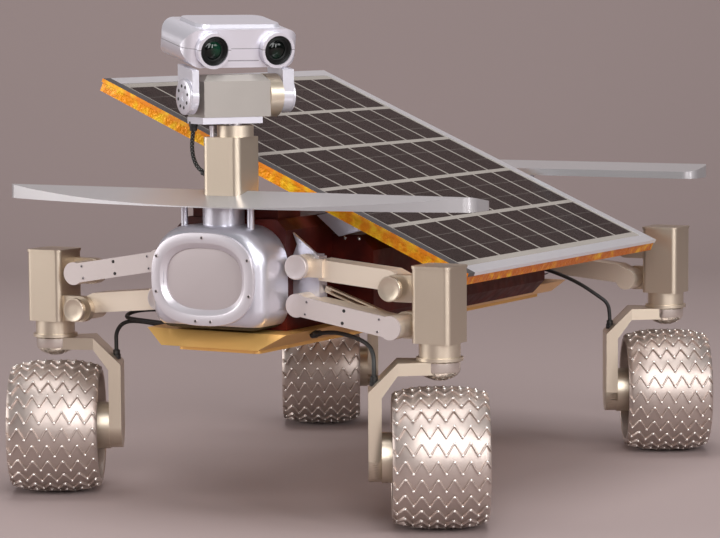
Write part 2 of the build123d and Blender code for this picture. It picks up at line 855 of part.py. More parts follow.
# Head: shells, lid, lenses and the two ears that hang on the tilt axis
head_up = pan_plane.z_dir * cos(radians(tilt_rest)) - pan_plane.y_dir * sin(radians(tilt_rest))
head_plane = Plane(origin=tilt_origin, x_dir=pan_plane.x_dir, z_dir=head_up)
head_side_plane = Plane(origin=tilt_origin, x_dir=head_plane.y_dir, z_dir=head_plane.x_dir)
head_face_plane = Plane(origin=tilt_origin, x_dir=head_plane.x_dir, z_dir=-head_plane.y_dir)
head_middle = (head_front + head_back) / 2
lens_seat = -head_front - lens_seat_depth
lens_back = -lens_ring_front - lens_recess - lens_thickness

for name, low, high in (
    ("head_shell_lower", head_bottom, head_seam),
    ("head_shell_upper", head_seam, head_top),
):
    with BuildPart() as head_shell:
        with BuildSketch(head_plane.offset(low)):
            with Locations((head_centre_x, head_middle)):
                RectangleRounded(head_width, head_back - head_front, head_plan_radius)
        extrude(amount=high - low)
        with BuildSketch(head_face_plane.offset(-head_back)):
            with Locations((head_centre_x, (head_top + head_bottom) / 2)):
                RectangleRounded(head_width, head_top - head_bottom, head_end_radius)
        extrude(amount=head_back - head_front, mode=Mode.INTERSECT)
        with BuildSketch(head_face_plane.offset(lens_seat)):
            with Locations(*lens_places):
                Circle(lens_ring_diameter / 2 + port_fit)
        extrude(amount=lens_seat_depth, mode=Mode.SUBTRACT)
    save(head_shell.part, name)

with BuildPart() as head_lid:
    with BuildSketch(head_plane.offset(head_top)):
        with Locations((head_centre_x, head_middle)):
            lid_depth = head_back - head_front - 2 * lid_margin_y
            RectangleRounded(head_width - 2 * lid_margin_x, lid_depth, lid_corner_radius)
    extrude(amount=lid_height, taper=lid_taper)
save(head_lid.part, "head_lid")

with BuildPart() as lens_rings:
    with BuildSketch(head_face_plane.offset(lens_seat)):
        with Locations(*lens_places):
            Circle(lens_ring_diameter / 2)
    extrude(amount=lens_seat_depth + head_front - lens_ring_front)
    with BuildSketch(head_face_plane.offset(lens_back)):
        with Locations(*lens_places):
            Circle(lens_diameter / 2 + port_fit)
    extrude(amount=lens_thickness + lens_recess, mode=Mode.SUBTRACT)
save(lens_rings.part, "lens_rings")

with BuildPart() as lenses:
    with BuildSketch(head_face_plane.offset(lens_back)):
        with Locations(*lens_places):
            Circle(lens_diameter / 2)
    extrude(amount=lens_thickness)
save(lenses.part, "lenses")

with BuildPart() as ears:
    for ear_x, ear_thickness in ears_table:
        with BuildSketch(head_side_plane.offset(ear_x)):
            Circle(ear_diameter / 2)
            with BuildLine():
                Polyline(
                    (-ear_diameter / 2, 0),
                    (ear_diameter / 2, 0),
                    (ear_diameter / 2 + ear_neck_lean, head_bottom - seat_gap),
                    (-ear_diameter / 2 + ear_neck_lean, head_bottom - seat_gap),
                    close=True,
                )
            make_face()
            Circle(tilt_pin_diameter / 2 + shaft_clearance, mode=Mode.SUBTRACT)
        extrude(amount=ear_thickness)
save(ears.part, "ears")

# Solar panel on its hinge line along Y
normal = Vector(sin(radians(panel_tilt)), 0, cos(radians(panel_tilt)))
slope = Vector(cos(radians(panel_tilt)), 0, -sin(radians(panel_tilt)))
hinge_point = Vector(0, 0, hinge_z)
panel_plane = Plane(origin=hinge_point + normal * panel_rise, x_dir=slope, z_dir=normal)
panel_underside = panel_rise - panel_thickness
with BuildPart() as panel_tray:
    with BuildSketch(panel_plane.offset(-panel_thickness)):
        Rectangle(panel_length - 2 * panel_lip, panel_width - 2 * panel_lip)
    extrude(amount=panel_thickness - panel_frame_depth)
save(panel_tray.part, "panel_tray")

hangers = []
for end in (-1, 1):
    hanger_plane = Plane(
        origin=hinge_point + Vector(0, end * hanger_y - hanger_thickness / 2, 0),
        x_dir=slope,
        z_dir=(0, 1, 0),
    )
    with BuildPart() as hanger:
        with BuildSketch(hanger_plane):
            Circle(hanger_end_radius)
            with BuildLine():
                Polyline(
                    (-hanger_end_radius, 0),
                    (hanger_end_radius, 0),
                    (hanger_foot / 2, -panel_underside),
                    (-hanger_foot / 2, -panel_underside),
                    close=True,
                )
            make_face()
            Circle(hinge_pin_diameter / 2 + shaft_clearance, mode=Mode.SUBTRACT)
        extrude(amount=hanger_thickness)
    hangers.append(hanger.part)
save_together(hangers, "panel_hangers")

# White rail under the low half of the panel, beside the mast
rail_plane = Plane(
    origin=hinge_point + Vector(0, rail_y - rail_thickness / 2, 0), x_dir=slope, z_dir=(0, 1, 0)
)
with BuildPart() as panel_rail:
    with BuildSketch(rail_plane):
        with BuildLine():
            Polyline(
                (rail_start, -panel_underside),
                (rail_start + rail_length, -panel_underside),
                (rail_foot_end, -panel_underside + rail_height),
                (rail_foot_start, -panel_underside + rail_foot_height),
                close=True,
            )
        make_face()
    extrude(amount=rail_thickness)
save(panel_rail.part, "panel_rail")

with BuildPart() as panel_frame:
    with BuildSketch(panel_plane.offset(-panel_frame_depth)):
        Rectangle(panel_length, panel_width)
        Rectangle(panel_length - 2 * panel_margin, panel_width - 2 * panel_margin, mode=Mode.SUBTRACT)
    extrude(amount=panel_frame_depth)
save(panel_frame.part, "panel_frame")

with BuildPart() as panel_cells:
    cell_edge = 2 * panel_margin + 2 * port_fit
    with BuildSketch(panel_plane.offset(-panel_frame_depth)):
        Rectangle(panel_length - cell_edge, panel_width - cell_edge)
    extrude(amount=panel_frame_depth - panel_cell_drop)
save(panel_cells.part, "panel_cells")

# Hinge bearings on the box, a pair round each hanger on one pin
bearings = []
bearing_step = (hanger_thickness + bearing_thickness) / 2 + seat_gap
for end in (-1, 1):
    with BuildPart() as bearing:
        for step in (-1, 1):
            y = end * hanger_y + step * bearing_step
            bearing_plane = Plane(
                origin=(0, y - bearing_thickness / 2, 0), x_dir=(1, 0, 0), z_dir=(0, 1, 0)
            )
            with BuildSketch(bearing_plane):
                with Locations((0, -hinge_z)):
                    Circle(bearing_width / 2)
                with Locations((0, -(hinge_z + equipment_top) / 2)):
                    Rectangle(bearing_width, hinge_z - equipment_top)
            extrude(amount=bearing_thickness)
        pin_plane = Plane(
            origin=(0, end * hanger_y - hanger_thickness, hinge_z), x_dir=(1, 0, 0), z_dir=(0, 1, 0)
        )
        with BuildSketch(pin_plane):
            Circle(hinge_pin_diameter / 2)
        extrude(amount=2 * hanger_thickness)
    bearings.append(bearing.part)
save_together(bearings, "hinge_bearings")


# Cables: a chain of points each, from the body to just above a fork
cable_end_x = track_half - cable_reach * cos(radians(steer_angle))
near_end_y = wheelbase_half - cable_reach * sin(radians(steer_angle))
far_end_y = wheelbase_half + cable_reach * sin(radians(steer_angle))
corner_run = [
    (71.8, -240.0, 168.2),
    (92.0, -246.0, 172.5),
    (120.0, -258.0, 171.8),
    (146.0, -272.0, 168.0),
    (159.5, -282.5, 160.5),
    (cable_end_x, -far_end_y, cable_end_z),
]
cable_routes = {
    "cable_front_left": [
        (-67.2, -226.0, 165.6),
        (-84.0, -226.0, 165.0),
        (-109.0, -227.0, 166.4),
        (-130.0, -228.0, 169.3),
        (-151.0, -228.0, 168.5),
        (-161.8, -227.2, 158.0),
        (-cable_end_x, -near_end_y, cable_end_z),
    ],
    "cable_front_left_loop": [
        (-60.6, -212.0, 183.5),
        (-88.0, -211.2, 182.0),
        (-119.0, -211.6, 180.0),
        (-139.0, -212.0, 178.6),
        (-146.9, -219.9, 177.0),
        (-146.9, -231.1, 174.6),
        (-139.0, -239.0, 172.8),
        (-119.0, -239.3, 171.6),
        (-92.0, -238.6, 169.8),
        (-70.8, -238.0, 167.6),
    ],
    "cable_front_right": corner_run,
    "cable_rear_left": [(-x, -y, z) for x, y, z in corner_run],
    "cable_rear_right": [
        (61.2, 212.0, 204.3),
        (82.0, 212.0, 195.5),
        (108.0, 212.8, 188.6),
        (132.0, 215.0, 179.0),
        (151.0, 220.5, 166.0),
        (160.5, 225.5, 158.0),
        (cable_end_x, near_end_y, cable_end_z),
    ],
    "cable_head": [
        (-21.0, -272.0, 316.5),
        (-31.5, -273.5, 320.5),
        (-36.0, -277.0, 331.0),
        (-35.2, -281.0, 342.2),
        (-31.5, -285.5, 352.0),
    ],
}
for name, points in cable_routes.items():
    radii = []
    for before, here, after in zip(points, points[1:], points[2:]):
        arriving = Vector(*here) - Vector(*before)
        leaving = Vector(*after) - Vector(*here)
        half_turn = radians(arriving.get_angle(leaving)) / 2
        radii.append(cable_share * min(arriving.length, leaving.length) / tan(half_turn))
    with BuildPart() as cable:
        with BuildLine() as route:
            FilletPolyline(*points, radius=radii)
        path = route.wires()[0]
        with BuildSketch(Plane(origin=path @ 0, z_dir=path % 0)):
            RegularPolygon(cable_diameter / 2, cable_sides)
        sweep(path=path)
    save(cable.part, name)
    section = cable_sides / 2 * (cable_diameter / 2) ** 2 * sin(radians(360.0 / cable_sides))
    print(
        name,
        "least bend radius", round(min(radii), 1),
        "length", round(path.length, 1),
        "volume over section times length", round(cable.part.volume / section / path.length, 4),
    )
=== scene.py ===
# %% [markdown]
# # A small planetary rover, dressed for the camera
# The frame holds the rover as plain solids in metres, +Z up, standing on its
# wheels, with the camera mast towards -Y. This lesson gives each surface its
# real finish, swaps the plain wheels for cleated ones, and adds the cables,
# lenses and screws that a real machine of this size carries.

# %% Load the frame
from functools import partialmethod
from math import cos, pi, radians, sin

import bmesh
import bpy
import numpy as np
from mathutils import Matrix, Vector


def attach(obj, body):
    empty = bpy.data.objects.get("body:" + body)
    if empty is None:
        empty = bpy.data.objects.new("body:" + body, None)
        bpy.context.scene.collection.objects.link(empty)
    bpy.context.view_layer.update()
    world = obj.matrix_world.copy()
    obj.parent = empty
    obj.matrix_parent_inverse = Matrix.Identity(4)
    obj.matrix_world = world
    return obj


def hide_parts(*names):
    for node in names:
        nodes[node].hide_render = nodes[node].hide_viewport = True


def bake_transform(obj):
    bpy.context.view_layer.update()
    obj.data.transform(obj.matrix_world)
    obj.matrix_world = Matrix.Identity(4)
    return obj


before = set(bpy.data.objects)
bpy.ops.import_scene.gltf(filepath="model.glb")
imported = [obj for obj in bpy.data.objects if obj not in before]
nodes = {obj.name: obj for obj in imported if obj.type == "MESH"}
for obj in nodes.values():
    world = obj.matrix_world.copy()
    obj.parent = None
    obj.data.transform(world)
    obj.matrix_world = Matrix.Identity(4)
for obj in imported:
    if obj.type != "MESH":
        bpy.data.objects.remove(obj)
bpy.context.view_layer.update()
scene = bpy.context.scene


def linked(name, data):
    """A new object that carries the data, put in the scene."""
    made = bpy.data.objects.new(name, data)
    scene.collection.objects.link(made)
    return made


# %% [markdown]
# ## Camera
# A long lens far away keeps the machine's lines nearly parallel, as a product
# photograph does. The camera stands a little above the rover's height, off
# its front left corner, so one end and one long side show. Three turns place
# it: round the rover, up over it, and a hair of roll.

# %% Camera at the photograph's viewing angle
camera_turn = radians(29.72)
camera_rise = radians(5.22)
camera_roll = radians(-0.373)
camera_place = (1.3635, -2.4154, 0.4603)

look = Vector((
    -sin(camera_turn) * cos(camera_rise),
    cos(camera_turn) * cos(camera_rise),
    -sin(camera_rise),
))
level_right = Vector((cos(camera_turn), sin(camera_turn), 0.0))
level_up = level_right.cross(look)
right = level_right * cos(camera_roll) + level_up * sin(camera_roll)
up = level_up * cos(camera_roll) - level_right * sin(camera_roll)
camera_axes = Matrix((right, up, -look)).transposed().to_4x4()
camera = linked("camera", bpy.data.cameras.new("camera"))
camera.data.lens = 136.145  # millimetres, on a sensor 36 wide
camera.data.sensor_width = 36.0
camera.data.sensor_fit = "HORIZONTAL"
camera.matrix_world = Matrix.Translation(camera_place) @ camera_axes
scene.camera = camera
print("camera at", camera_place)

# %% [markdown]
# ## Shader arithmetic
# A material is a sum of simple patterns: noise, waves, stripes and masks.
# Written as nodes by hand they sprawl. One small class wraps a socket, so
# that ordinary Python expressions such as 1 - mask * 0.5 add the nodes.

# %% A socket that does arithmetic, and a material that holds one surface
class Value:
    """A number or vector socket whose operators add Math nodes."""

    def __init__(self, surface, socket):
        self.surface = surface
        self.socket = socket

    def math(self, operation, *others, clamp=False):
        """Add a Math node that takes this socket first."""
        values = dict(enumerate((self, *others)))
        return self.surface.node("ShaderNodeMath", values, operation=operation, use_clamp=clamp)

    def vector_math(self, operation, other, output=0):
        """Add a Vector Math node between this socket and a fixed vector."""
        values = {0: self, 1: tuple(other)}
        return self.surface.node("ShaderNodeVectorMath", values, output, operation=operation)

    def __rsub__(self, other):
        """Subtract this socket from a number, in that order."""
        return self.surface.node("ShaderNodeMath", {0: other, 1: self}, operation="SUBTRACT")

    __add__ = __radd__ = partialmethod(math, "ADD")
    __sub__ = partialmethod(math, "SUBTRACT")
    __mul__ = partialmethod(math, "MULTIPLY")
    __truediv__ = partialmethod(math, "DIVIDE")
    __gt__ = partialmethod(math, "GREATER_THAN")
    __lt__ = partialmethod(math, "LESS_THAN")
    __abs__ = partialmethod(math, "ABSOLUTE")
    fraction = partialmethod(math, "FRACT")
    limited = partialmethod(math, "ADD", 0.0, clamp=True)
    dot = partialmethod(vector_math, "DOT_PRODUCT", output="Value")
    scaled = partialmethod(vector_math, "MULTIPLY")
    shifted = partialmethod(vector_math, "ADD")


class Surface:
    """A material with one Principled shader, filled in by patterns."""

    def __init__(self, name, color, metallic, roughness):
        self.material = bpy.data.materials.new(name)
        self.material.use_nodes = True
        self.tree = self.material.node_tree
        self.shader = self.tree.nodes["Principled BSDF"]
        self.material.diffuse_color = (*color, 1.0)
        self.set("Base Color", (*color, 1.0))
        self.set("Metallic", metallic)
        self.set("Roughness", roughness)

    def node(self, kind, values=None, output=0, **settings):
        """Add a node, give its inputs their values, and wrap one output."""
        made = self.tree.nodes.new(kind)
        for key, setting in settings.items():
            setattr(made, key, setting)
        for key, value in (values or {}).items():
            self.plug(made.inputs[key], value)
        return Value(self, made.outputs[output])

    def plug(self, socket, value):
        """Give an input a link from another node, or a plain value."""
        if isinstance(value, Value):
            self.tree.links.new(value.socket, socket)
        else:
            socket.default_value = value

    def set(self, name, value):
        """Fill one input of the Principled shader."""
        self.plug(self.shader.inputs[name], value)

    def place(self):
        """Where a point of the piece is, in metres."""
        return self.node("ShaderNodeTexCoord", output="Object")

    def noise(self, scale, detail, stretch=None):
        """Soft noise from 0 to 1; stretch gives each axis its own scale."""
        where = self.place().scaled(stretch) if stretch else self.place()
        values = {"Vector": where, "Scale": scale, "Detail": detail}
        return self.node("ShaderNodeTexNoise", values)

    def crystals(self, scale):
        """Cell noise: the distance to the nearest of many scattered points."""
        return self.node("ShaderNodeTexVoronoi", {"Vector": self.place(), "Scale": scale})

    def ramp(self, value, low, high):
        """0 below low, 1 above high, straight between."""
        values = {"Value": value, "From Min": low, "From Max": high}
        return self.node("ShaderNodeMapRange", values)

    def mix(self, factor, first, second):
        """Two colours mixed by a mask."""
        made = self.tree.nodes.new("ShaderNodeMix")
        made.data_type = "RGBA"
        for number, value in ((0, factor), (6, first), (7, second)):
            if isinstance(value, tuple) and len(value) == 3:
                value = (*value, 1.0)
            self.plug(made.inputs[number], value)
        return Value(self, made.outputs[2])

    def bump(self, height, depth, strength):
        """Raise the surface by a pattern, depth metres from 0 to 1."""
        values = {"Height": height, "Distance": depth, "Strength": strength}
        self.set("Normal", self.node("ShaderNodeBump", values))


def tinted(color, factor):
    """A colour made lighter or darker by a plain factor."""
    return tuple(min(1.0, part * factor) for part in color)


print("shader arithmetic ready")

# %% [markdown]
# ## Painted and blasted metal
# The steering boxes, forks, mast and links are machined from aluminium, fine
# blasted and lacquered in a warm champagne tone. Up close such a surface has
# slow changes of tone, an uneven gloss and a soft grain. Three noises of very
# different size give this better than one busy one.

# %% Satin metals
def satin_metal(name, color, metallic, roughness, grain=0.000012, tone=0.08, shadow_band_height=None):
    """Lacquered blasted metal: slow tone, fine grain, a little uneven gloss.

    Below shadow_band_height it turns dull black: a painted shadow of the gap under the part.
    """
    surface = Surface(name, color, metallic, roughness)
    slow = surface.noise(9.0, 2.0)
    fine = surface.noise(1400.0, 1.0)
    shade = surface.mix(slow, tinted(color, 1.0 - tone), tinted(color, 1.0 + tone))
    gloss = roughness + (surface.noise(30.0, 2.0) - 0.5) * 0.04 + (fine - 0.5) * 0.04
    # Painted shadow: a dull black band at the bottom stands in for the shaded gap below.
    if shadow_band_height:
        gap_shadow = surface.place().dot((0.0, 0.0, -1.0)) > -shadow_band_height
        shade = surface.mix(gap_shadow, shade, (0.010, 0.009, 0.009))
        gloss = gloss + gap_shadow * 0.3
        surface.set("Metallic", (1.0 - gap_shadow) * metallic)
    surface.set("Base Color", shade)
    surface.set("Roughness", gloss)
    surface.bump(fine, grain, 0.5)
    return surface.material


silver_look = {
    "color": (0.66, 0.65, 0.72), "metallic": 0.75, "roughness": 0.32,
    "grain": 0.000004, "tone": 0.03,
}
silver = satin_metal("silver_paint", **silver_look)
# The shells' lower edge gets a painted shadow band for the gap above the belly tray.
shell_silver = satin_metal("shell_silver", **silver_look, shadow_band_height=0.1803)
champagne = satin_metal("champagne_metal", (0.66, 0.565, 0.455), 0.88, 0.38, tone=0.05)
# Painted light: the links wear a lighter copy of the champagne, standing in for the brighter light
# on their faces.
lit_link_champagne = satin_metal("lit_link_champagne", (0.80, 0.69, 0.575), 0.5, 0.42, tone=0.04)
cover_paint = satin_metal("cover_paint", (0.66, 0.585, 0.57), 0.4, 0.36, tone=0.03)
ring_paint = satin_metal("ring_paint", (0.64, 0.60, 0.64), 0.5, 0.34, tone=0.03)
panel_paint = satin_metal("panel_paint", (0.50, 0.44, 0.445), 0.45, 0.42, tone=0.03)
screw_steel = satin_metal("screw_steel", (0.55, 0.54, 0.55), 0.95, 0.25)
dark_steel = satin_metal("dark_steel", (0.03, 0.028, 0.028), 0.5, 0.4)
polished_steel = satin_metal("polished_steel", (0.78, 0.74, 0.68), 1.0, 0.22)
lens_black = satin_metal("lens_black", (0.006, 0.006, 0.006), 0.0, 0.45)
lens_black.node_tree.nodes["Principled BSDF"].inputs["Specular IOR Level"].default_value = 0.25
print("satin metals made")

# %% [markdown]
# ## Head paint with seams
# The head is two mouldings that meet in a fine seam all round, and its chin
# has one more short joint line. Lines this fine are paint work, not
# geometry: the height above the tilt axis, measured in the head's own
# directions, says where they are.

# %% The head's own directions, and its paint
pan_turn = radians(58)
head_tilt = radians(10.5)
across = Vector((cos(pan_turn), sin(pan_turn), 0.0))
back = Vector((-sin(pan_turn), cos(pan_turn), 0.0))
tilt_axis = Vector((0.005, -0.268, 0.391)) + 0.004 * back
head_up = Vector((0.0, 0.0, cos(head_tilt))) - back * sin(head_tilt)
head_front = -(back * cos(head_tilt) + Vector((0.0, 0.0, sin(head_tilt))))
head_middle = 0.0064  # the head sits this far to one side of its axis's middle
seam_height, seam_half_height = 0.0448, 0.00035
chin_height, chin_half_height, chin_half_width = 0.0335, 0.0005, 0.0165
flange_top = 0.3718


def head_paint():
    """Pale lavender silver with a seam all round and a short line at the chin."""
    surface = Surface("head_silver", (0.74, 0.72, 0.79), 0.55, 0.30)
    from_axis = surface.place().shifted(-tilt_axis)
    height = from_axis.dot(head_up)
    seam = abs(height - seam_height) < seam_half_height
    chin = abs(height - chin_height) < chin_half_height
    chin = chin * (from_axis.dot(head_front) > 0.0)
    chin = chin * (abs(from_axis.dot(across) - head_middle) < chin_half_width)
    line = (seam + chin).limited()
    paint = surface.mix(surface.noise(12.0, 2.0), (0.72, 0.70, 0.77), (0.76, 0.745, 0.81))
    surface.set("Base Color", surface.mix(line * 0.7, paint, (0.16, 0.15, 0.17)))
    surface.set("Roughness", 0.30 + (surface.noise(1200.0, 1.0) - 0.5) * 0.05)
    surface.bump(line * -1.0, 0.0003, 0.4)
    return surface.material


def pan_paint():
    """Warm grey block on a pale flange, split at the flange's top."""
    surface = Surface("pan_grey", (0.50, 0.465, 0.44), 0.6, 0.34)
    lower = surface.place().dot((0.0, 0.0, 1.0)) < flange_top
    grey = surface.mix(surface.noise(14.0, 2.0), (0.39, 0.355, 0.33), (0.43, 0.395, 0.365))
    surface.set("Base Color", surface.mix(lower, grey, (0.74, 0.72, 0.79)))
    surface.set("Roughness", 0.34 + (surface.noise(80.0, 2.0) - 0.5) * 0.05)
    return surface.material


head_silver = head_paint()
block_grey = pan_paint()
print("head paint made, tilt axis at", tuple(round(part, 4) for part in tilt_axis))

# %% [markdown]
# ## Brushed plates
# The end decks, the belly's gold plates and the panel's edge are polished
# along one direction, which leaves faint parallel lines. A noise squeezed
# along one axis gives them: it changes fast across the lines and hardly at
# all along them.

# %% Brushed metals
def brushed_metal(name, color, metallic, roughness, stretch):
    """Polished metal with faint lines along the axes that stretch leaves slow."""
    surface = Surface(name, color, metallic, roughness)
    lines = surface.noise(1.0, 3.0, stretch)
    slow = surface.noise(6.0, 1.0)
    surface.set("Base Color", surface.mix(slow, tinted(color, 0.92), tinted(color, 1.05)))
    surface.set("Roughness", roughness + (lines - 0.5) * 0.05)
    return surface.material


def panel_edge():
    """Polished margin round the panel, dark by the mast, with film on that side face."""
    surface = Surface("edge_metal", (0.80, 0.80, 0.84), 0.7, 0.30)
    lines = surface.noise(1.0, 2.0, (400.0, 6.0, 400.0))
    towards_mast = surface.place().dot((0.0, -1.0, 0.0))
    dark_margin = towards_mast > 0.2005
    side_face = towards_mast > 0.2135
    # The film's brighter patches are painted glints.
    painted_glint = surface.ramp(surface.noise(88.0, 4.0), 0.46, 0.66)
    film = surface.mix(painted_glint, (0.85, 0.25, 0.002), (1.0, 0.55, 0.02))
    polished = surface.mix(surface.noise(5.0, 1.0), (0.82, 0.82, 0.86), (0.90, 0.90, 0.94))
    margin = surface.mix(dark_margin, polished, (0.13, 0.125, 0.13))
    surface.set("Base Color", surface.mix(side_face, margin, film))
    surface.set("Metallic", 0.7 - side_face * 0.5)
    surface.set("Roughness", 0.30 + (lines - 0.5) * 0.05 + dark_margin * 0.12)
    return surface.material


deck_metal = brushed_metal("deck_metal", (0.60, 0.585, 0.60), 0.62, 0.29, (8.0, 160.0, 8.0))
gold = brushed_metal("gold_anodise", (0.96, 0.56, 0.18), 0.62, 0.36, (500.0, 8.0, 500.0))
edge_metal = panel_edge()
print("brushed metals made")

# %% [markdown]
# ## Insulation foil
# Thin metal film is wrapped round the box and under the panel to keep heat
# in. It never lies flat: it breaks into small creased facets that each catch
# the light. Cell noise gives the facets, and the places where a soft noise
# crosses its middle value give the sharp creases between them.

# %% Crinkled foils
def crinkled_foil(name, color, bright, metallic, roughness, coat, size, depth, shaded_beyond_x=None):
    """Creased film with painted glints in a brighter colour; past the X that its last argument
    gives, painted shade turns it dark red.
    """
    surface = Surface(name, color, metallic, roughness)
    # Painted glints: brighter patches in the colour stand in for light caught by the creases.
    painted_glint = surface.ramp(surface.noise(size * 0.8, 4.0), 0.46, 0.66)
    film = surface.mix(painted_glint, color, bright)
    if shaded_beyond_x:
        # Painted shade: the film's low edge faces away from the lights, so it is painted a darker
        # red.
        low_edge_shade = surface.place().dot((1.0, 0.0, 0.0)) > shaded_beyond_x
        film = surface.mix(low_edge_shade * (1.0 - painted_glint * 0.6), film, (0.55, 0.13, 0.003))
    facets = surface.crystals(size)
    creases = abs(surface.noise(size * 1.3, 5.0) - 0.5) * 2.0
    waves = surface.noise(size * 0.4, 3.0)
    surface.set("Base Color", film)
    surface.set("Roughness", roughness + (surface.crystals(size * 2.7) - 0.4) * 0.15)
    surface.bump(facets * 0.15 + creases + waves * 0.6, depth, 0.9)
    surface.set("Coat Weight", coat)
    surface.set("Specular IOR Level", 0.3)
    return surface.material


dark_foil = crinkled_foil(
    "dark_foil", (0.050, 0.0030, 0.0015), (0.100, 0.0080, 0.0030),
    metallic=0.0, roughness=0.50, coat=0.0, size=40.0, depth=0.0003,
)
amber_foil = crinkled_foil(
    "amber_foil", (0.90, 0.30, 0.002), (1.0, 0.62, 0.02),
    metallic=0.25, roughness=0.34, coat=0.2, size=110.0, depth=0.0018, shaded_beyond_x=0.2068,
)
print("foils made")

# %% [markdown]
# ## Solar cells
# Forty-five dark cells lie in five bands down the slope and nine columns
# across it, on a pale backing sheet that shows between them. Two thin
# conductors cross each cell. All of it is stripes: the place along the slope
# and across it is cut into equal steps, and the distance to the nearest step
# edge says cell, gap or conductor.

# %% The panel's own directions, and its cells
panel_tilt = radians(23.6)
panel_slope = (cos(panel_tilt), 0.0, -sin(panel_tilt))
hinge_height = 0.273
cell_bands, cell_columns = 5, 9
field_length, field_width = 0.402, 0.396
band_gap, column_gap = 0.0062, 0.0034
conductor_width = 0.0007


def solar_cells():
    """Cells, their backing and conductors as stripes along two directions."""
    surface = Surface("solar_cells", (0.035, 0.025, 0.025), 0.1, 0.22)
    from_hinge = surface.place().shifted((0.0, 0.0, -hinge_height))
    down = from_hinge.dot(panel_slope) + field_length / 2
    along = from_hinge.dot((0.0, 1.0, 0.0)) + field_width / 2
    band_step = field_length / cell_bands
    column_step = field_width / cell_columns
    from_middle = abs((down / band_step).fraction() - 0.5)
    band_edge = (0.5 - from_middle) * band_step
    column_edge = (0.5 - abs((along / column_step).fraction() - 0.5)) * column_step
    inside = (band_edge > band_gap / 2) * (column_edge > column_gap / 2)
    inside = inside * (down > 0.0) * (down < field_length)
    inside = inside * (along > 0.0) * (along < field_width)
    conductor = (abs(from_middle - 1 / 6) * band_step < conductor_width / 2) * inside
    cloud = surface.noise(16.0, 3.0)
    cell = surface.mix(cloud, (0.014, 0.009, 0.0085), (0.026, 0.017, 0.016))
    backing = surface.mix(cloud, (0.30, 0.27, 0.245), (0.36, 0.33, 0.30))
    backing = surface.mix(along < 0.0, backing, (0.11, 0.105, 0.105))
    covered = surface.mix(inside, backing, cell)
    surface.set("Base Color", surface.mix(conductor * 0.35, covered, (0.35, 0.32, 0.29)))
    surface.set("Roughness", 0.38 - inside * 0.1 + (surface.noise(500.0, 1.0) - 0.5) * 0.06)
    surface.set("Specular IOR Level", 0.12)
    surface.bump(inside, 0.0002, 0.5)
    return surface.material


cells = solar_cells()
print("cells", cell_bands * cell_columns)

# %% [markdown]
# ## Glass, rubber and the rest
# A camera lens is dark inside, and its coating gives a green sheen. Here the sheen is painted: a
# glossy, nearly black green that comes and goes in patches does most of the work. Cable jackets
# are dull; the one at the mast is braided, which two sets of slanted stripes along the cable's own
# coordinates give.

# %% Lens glass and cable jackets
def lens_glass():
    """Nearly black glass with a painted green sheen of its coating, in patches."""
    surface = Surface("lens_glass", (0.004, 0.010, 0.008), 0.0, 0.04)
    # Painted sheen: green patches in the colour stand in for the coating's reflection.
    painted_sheen = surface.ramp(surface.noise(45.0, 1.0), 0.45, 0.75)
    surface.set("Base Color", surface.mix(painted_sheen, (0.001, 0.002, 0.0015), (0.004, 0.035, 0.018)))
    surface.set("Roughness", 0.06 + painted_sheen * 0.05)
    surface.set("Specular IOR Level", 0.35)
    return surface.material


def cable_jacket(name, braided):
    """Dull black jacket; braided, it has crossing ridges round the cable."""
    surface = Surface(name, (0.018, 0.017, 0.017), 0.0, 0.5)
    ground = surface.noise(300.0, 2.0)
    surface.set("Roughness", 0.42 + ground * 0.2)
    height = ground * 0.3
    if braided:
        around_and_along = surface.node("ShaderNodeUVMap", uv_map="along")
        one_way = around_and_along.dot((4.0, 1.0, 0.0)).fraction()
        other_way = around_and_along.dot((-4.0, 1.0, 0.0)).fraction()
        ridges = abs(one_way - 0.5) + abs(other_way - 0.5)
        flecks = surface.ramp(ridges, 0.80, 0.90)
        surface.set("Base Color", surface.mix(flecks, (0.004, 0.004, 0.004), (0.62, 0.60, 0.58)))
        height = height + ridges
    surface.bump(height, 0.0004, 0.7)
    return surface.material


glass = lens_glass()
plain_jacket = cable_jacket("black_cable", False)
braided_jacket = cable_jacket("braided_cable", True)
print("glass and jackets made")

# %% [markdown]
# ## Tread metal
# The wheels are rough-machined metal, brownish from handling. The tread mesh carries a mark for
# the cleats' tips, and the material turns it into a paler, smoother metal there: partly wear,
# partly a painted highlight of the light that the tips catch.

# %% Tread metal with bright tips
def tread_metal():
    """Brown-grey metal; the mark is 1 on pale tips, from wear and a painted highlight, and -1 on
    rougher walls.
    """
    surface = Surface("titanium_tread", (0.48, 0.39, 0.35), 0.85, 0.36)
    wear_and_highlight = surface.node("ShaderNodeAttribute", output="Fac", attribute_name="wear_and_highlight")
    fine = surface.noise(900.0, 2.0)
    ground = surface.mix(surface.noise(22.0, 3.0), (0.49, 0.41, 0.37), (0.60, 0.51, 0.47))
    # Painted highlight: the pale tip colour is partly wear, partly the light that the tips catch.
    surface.set("Base Color", surface.mix(wear_and_highlight, ground, (0.95, 0.91, 0.86)))
    surface.set("Roughness", 0.41 - wear_and_highlight * 0.16 + (fine - 0.5) * 0.14)
    surface.bump(fine, 0.00012, 0.5)
    return surface.material


tread = tread_metal()
print("tread metal made")

# %% [markdown]
# ## Surfaces from arrays
# Each new piece is a grid of points worked out in one go, and faces that join
# neighbours on the grid; the two together are a shape. A turned shape is a
# profile carried round an axis; a tube is a circle carried along a path. The
# few helpers below do the joining, turn faces outwards by the sign of the
# enclosed volume, and name the body that the piece rides on. Profiles are in
# metres, and a radius of 0.0002 or less in them stands for the axis itself.

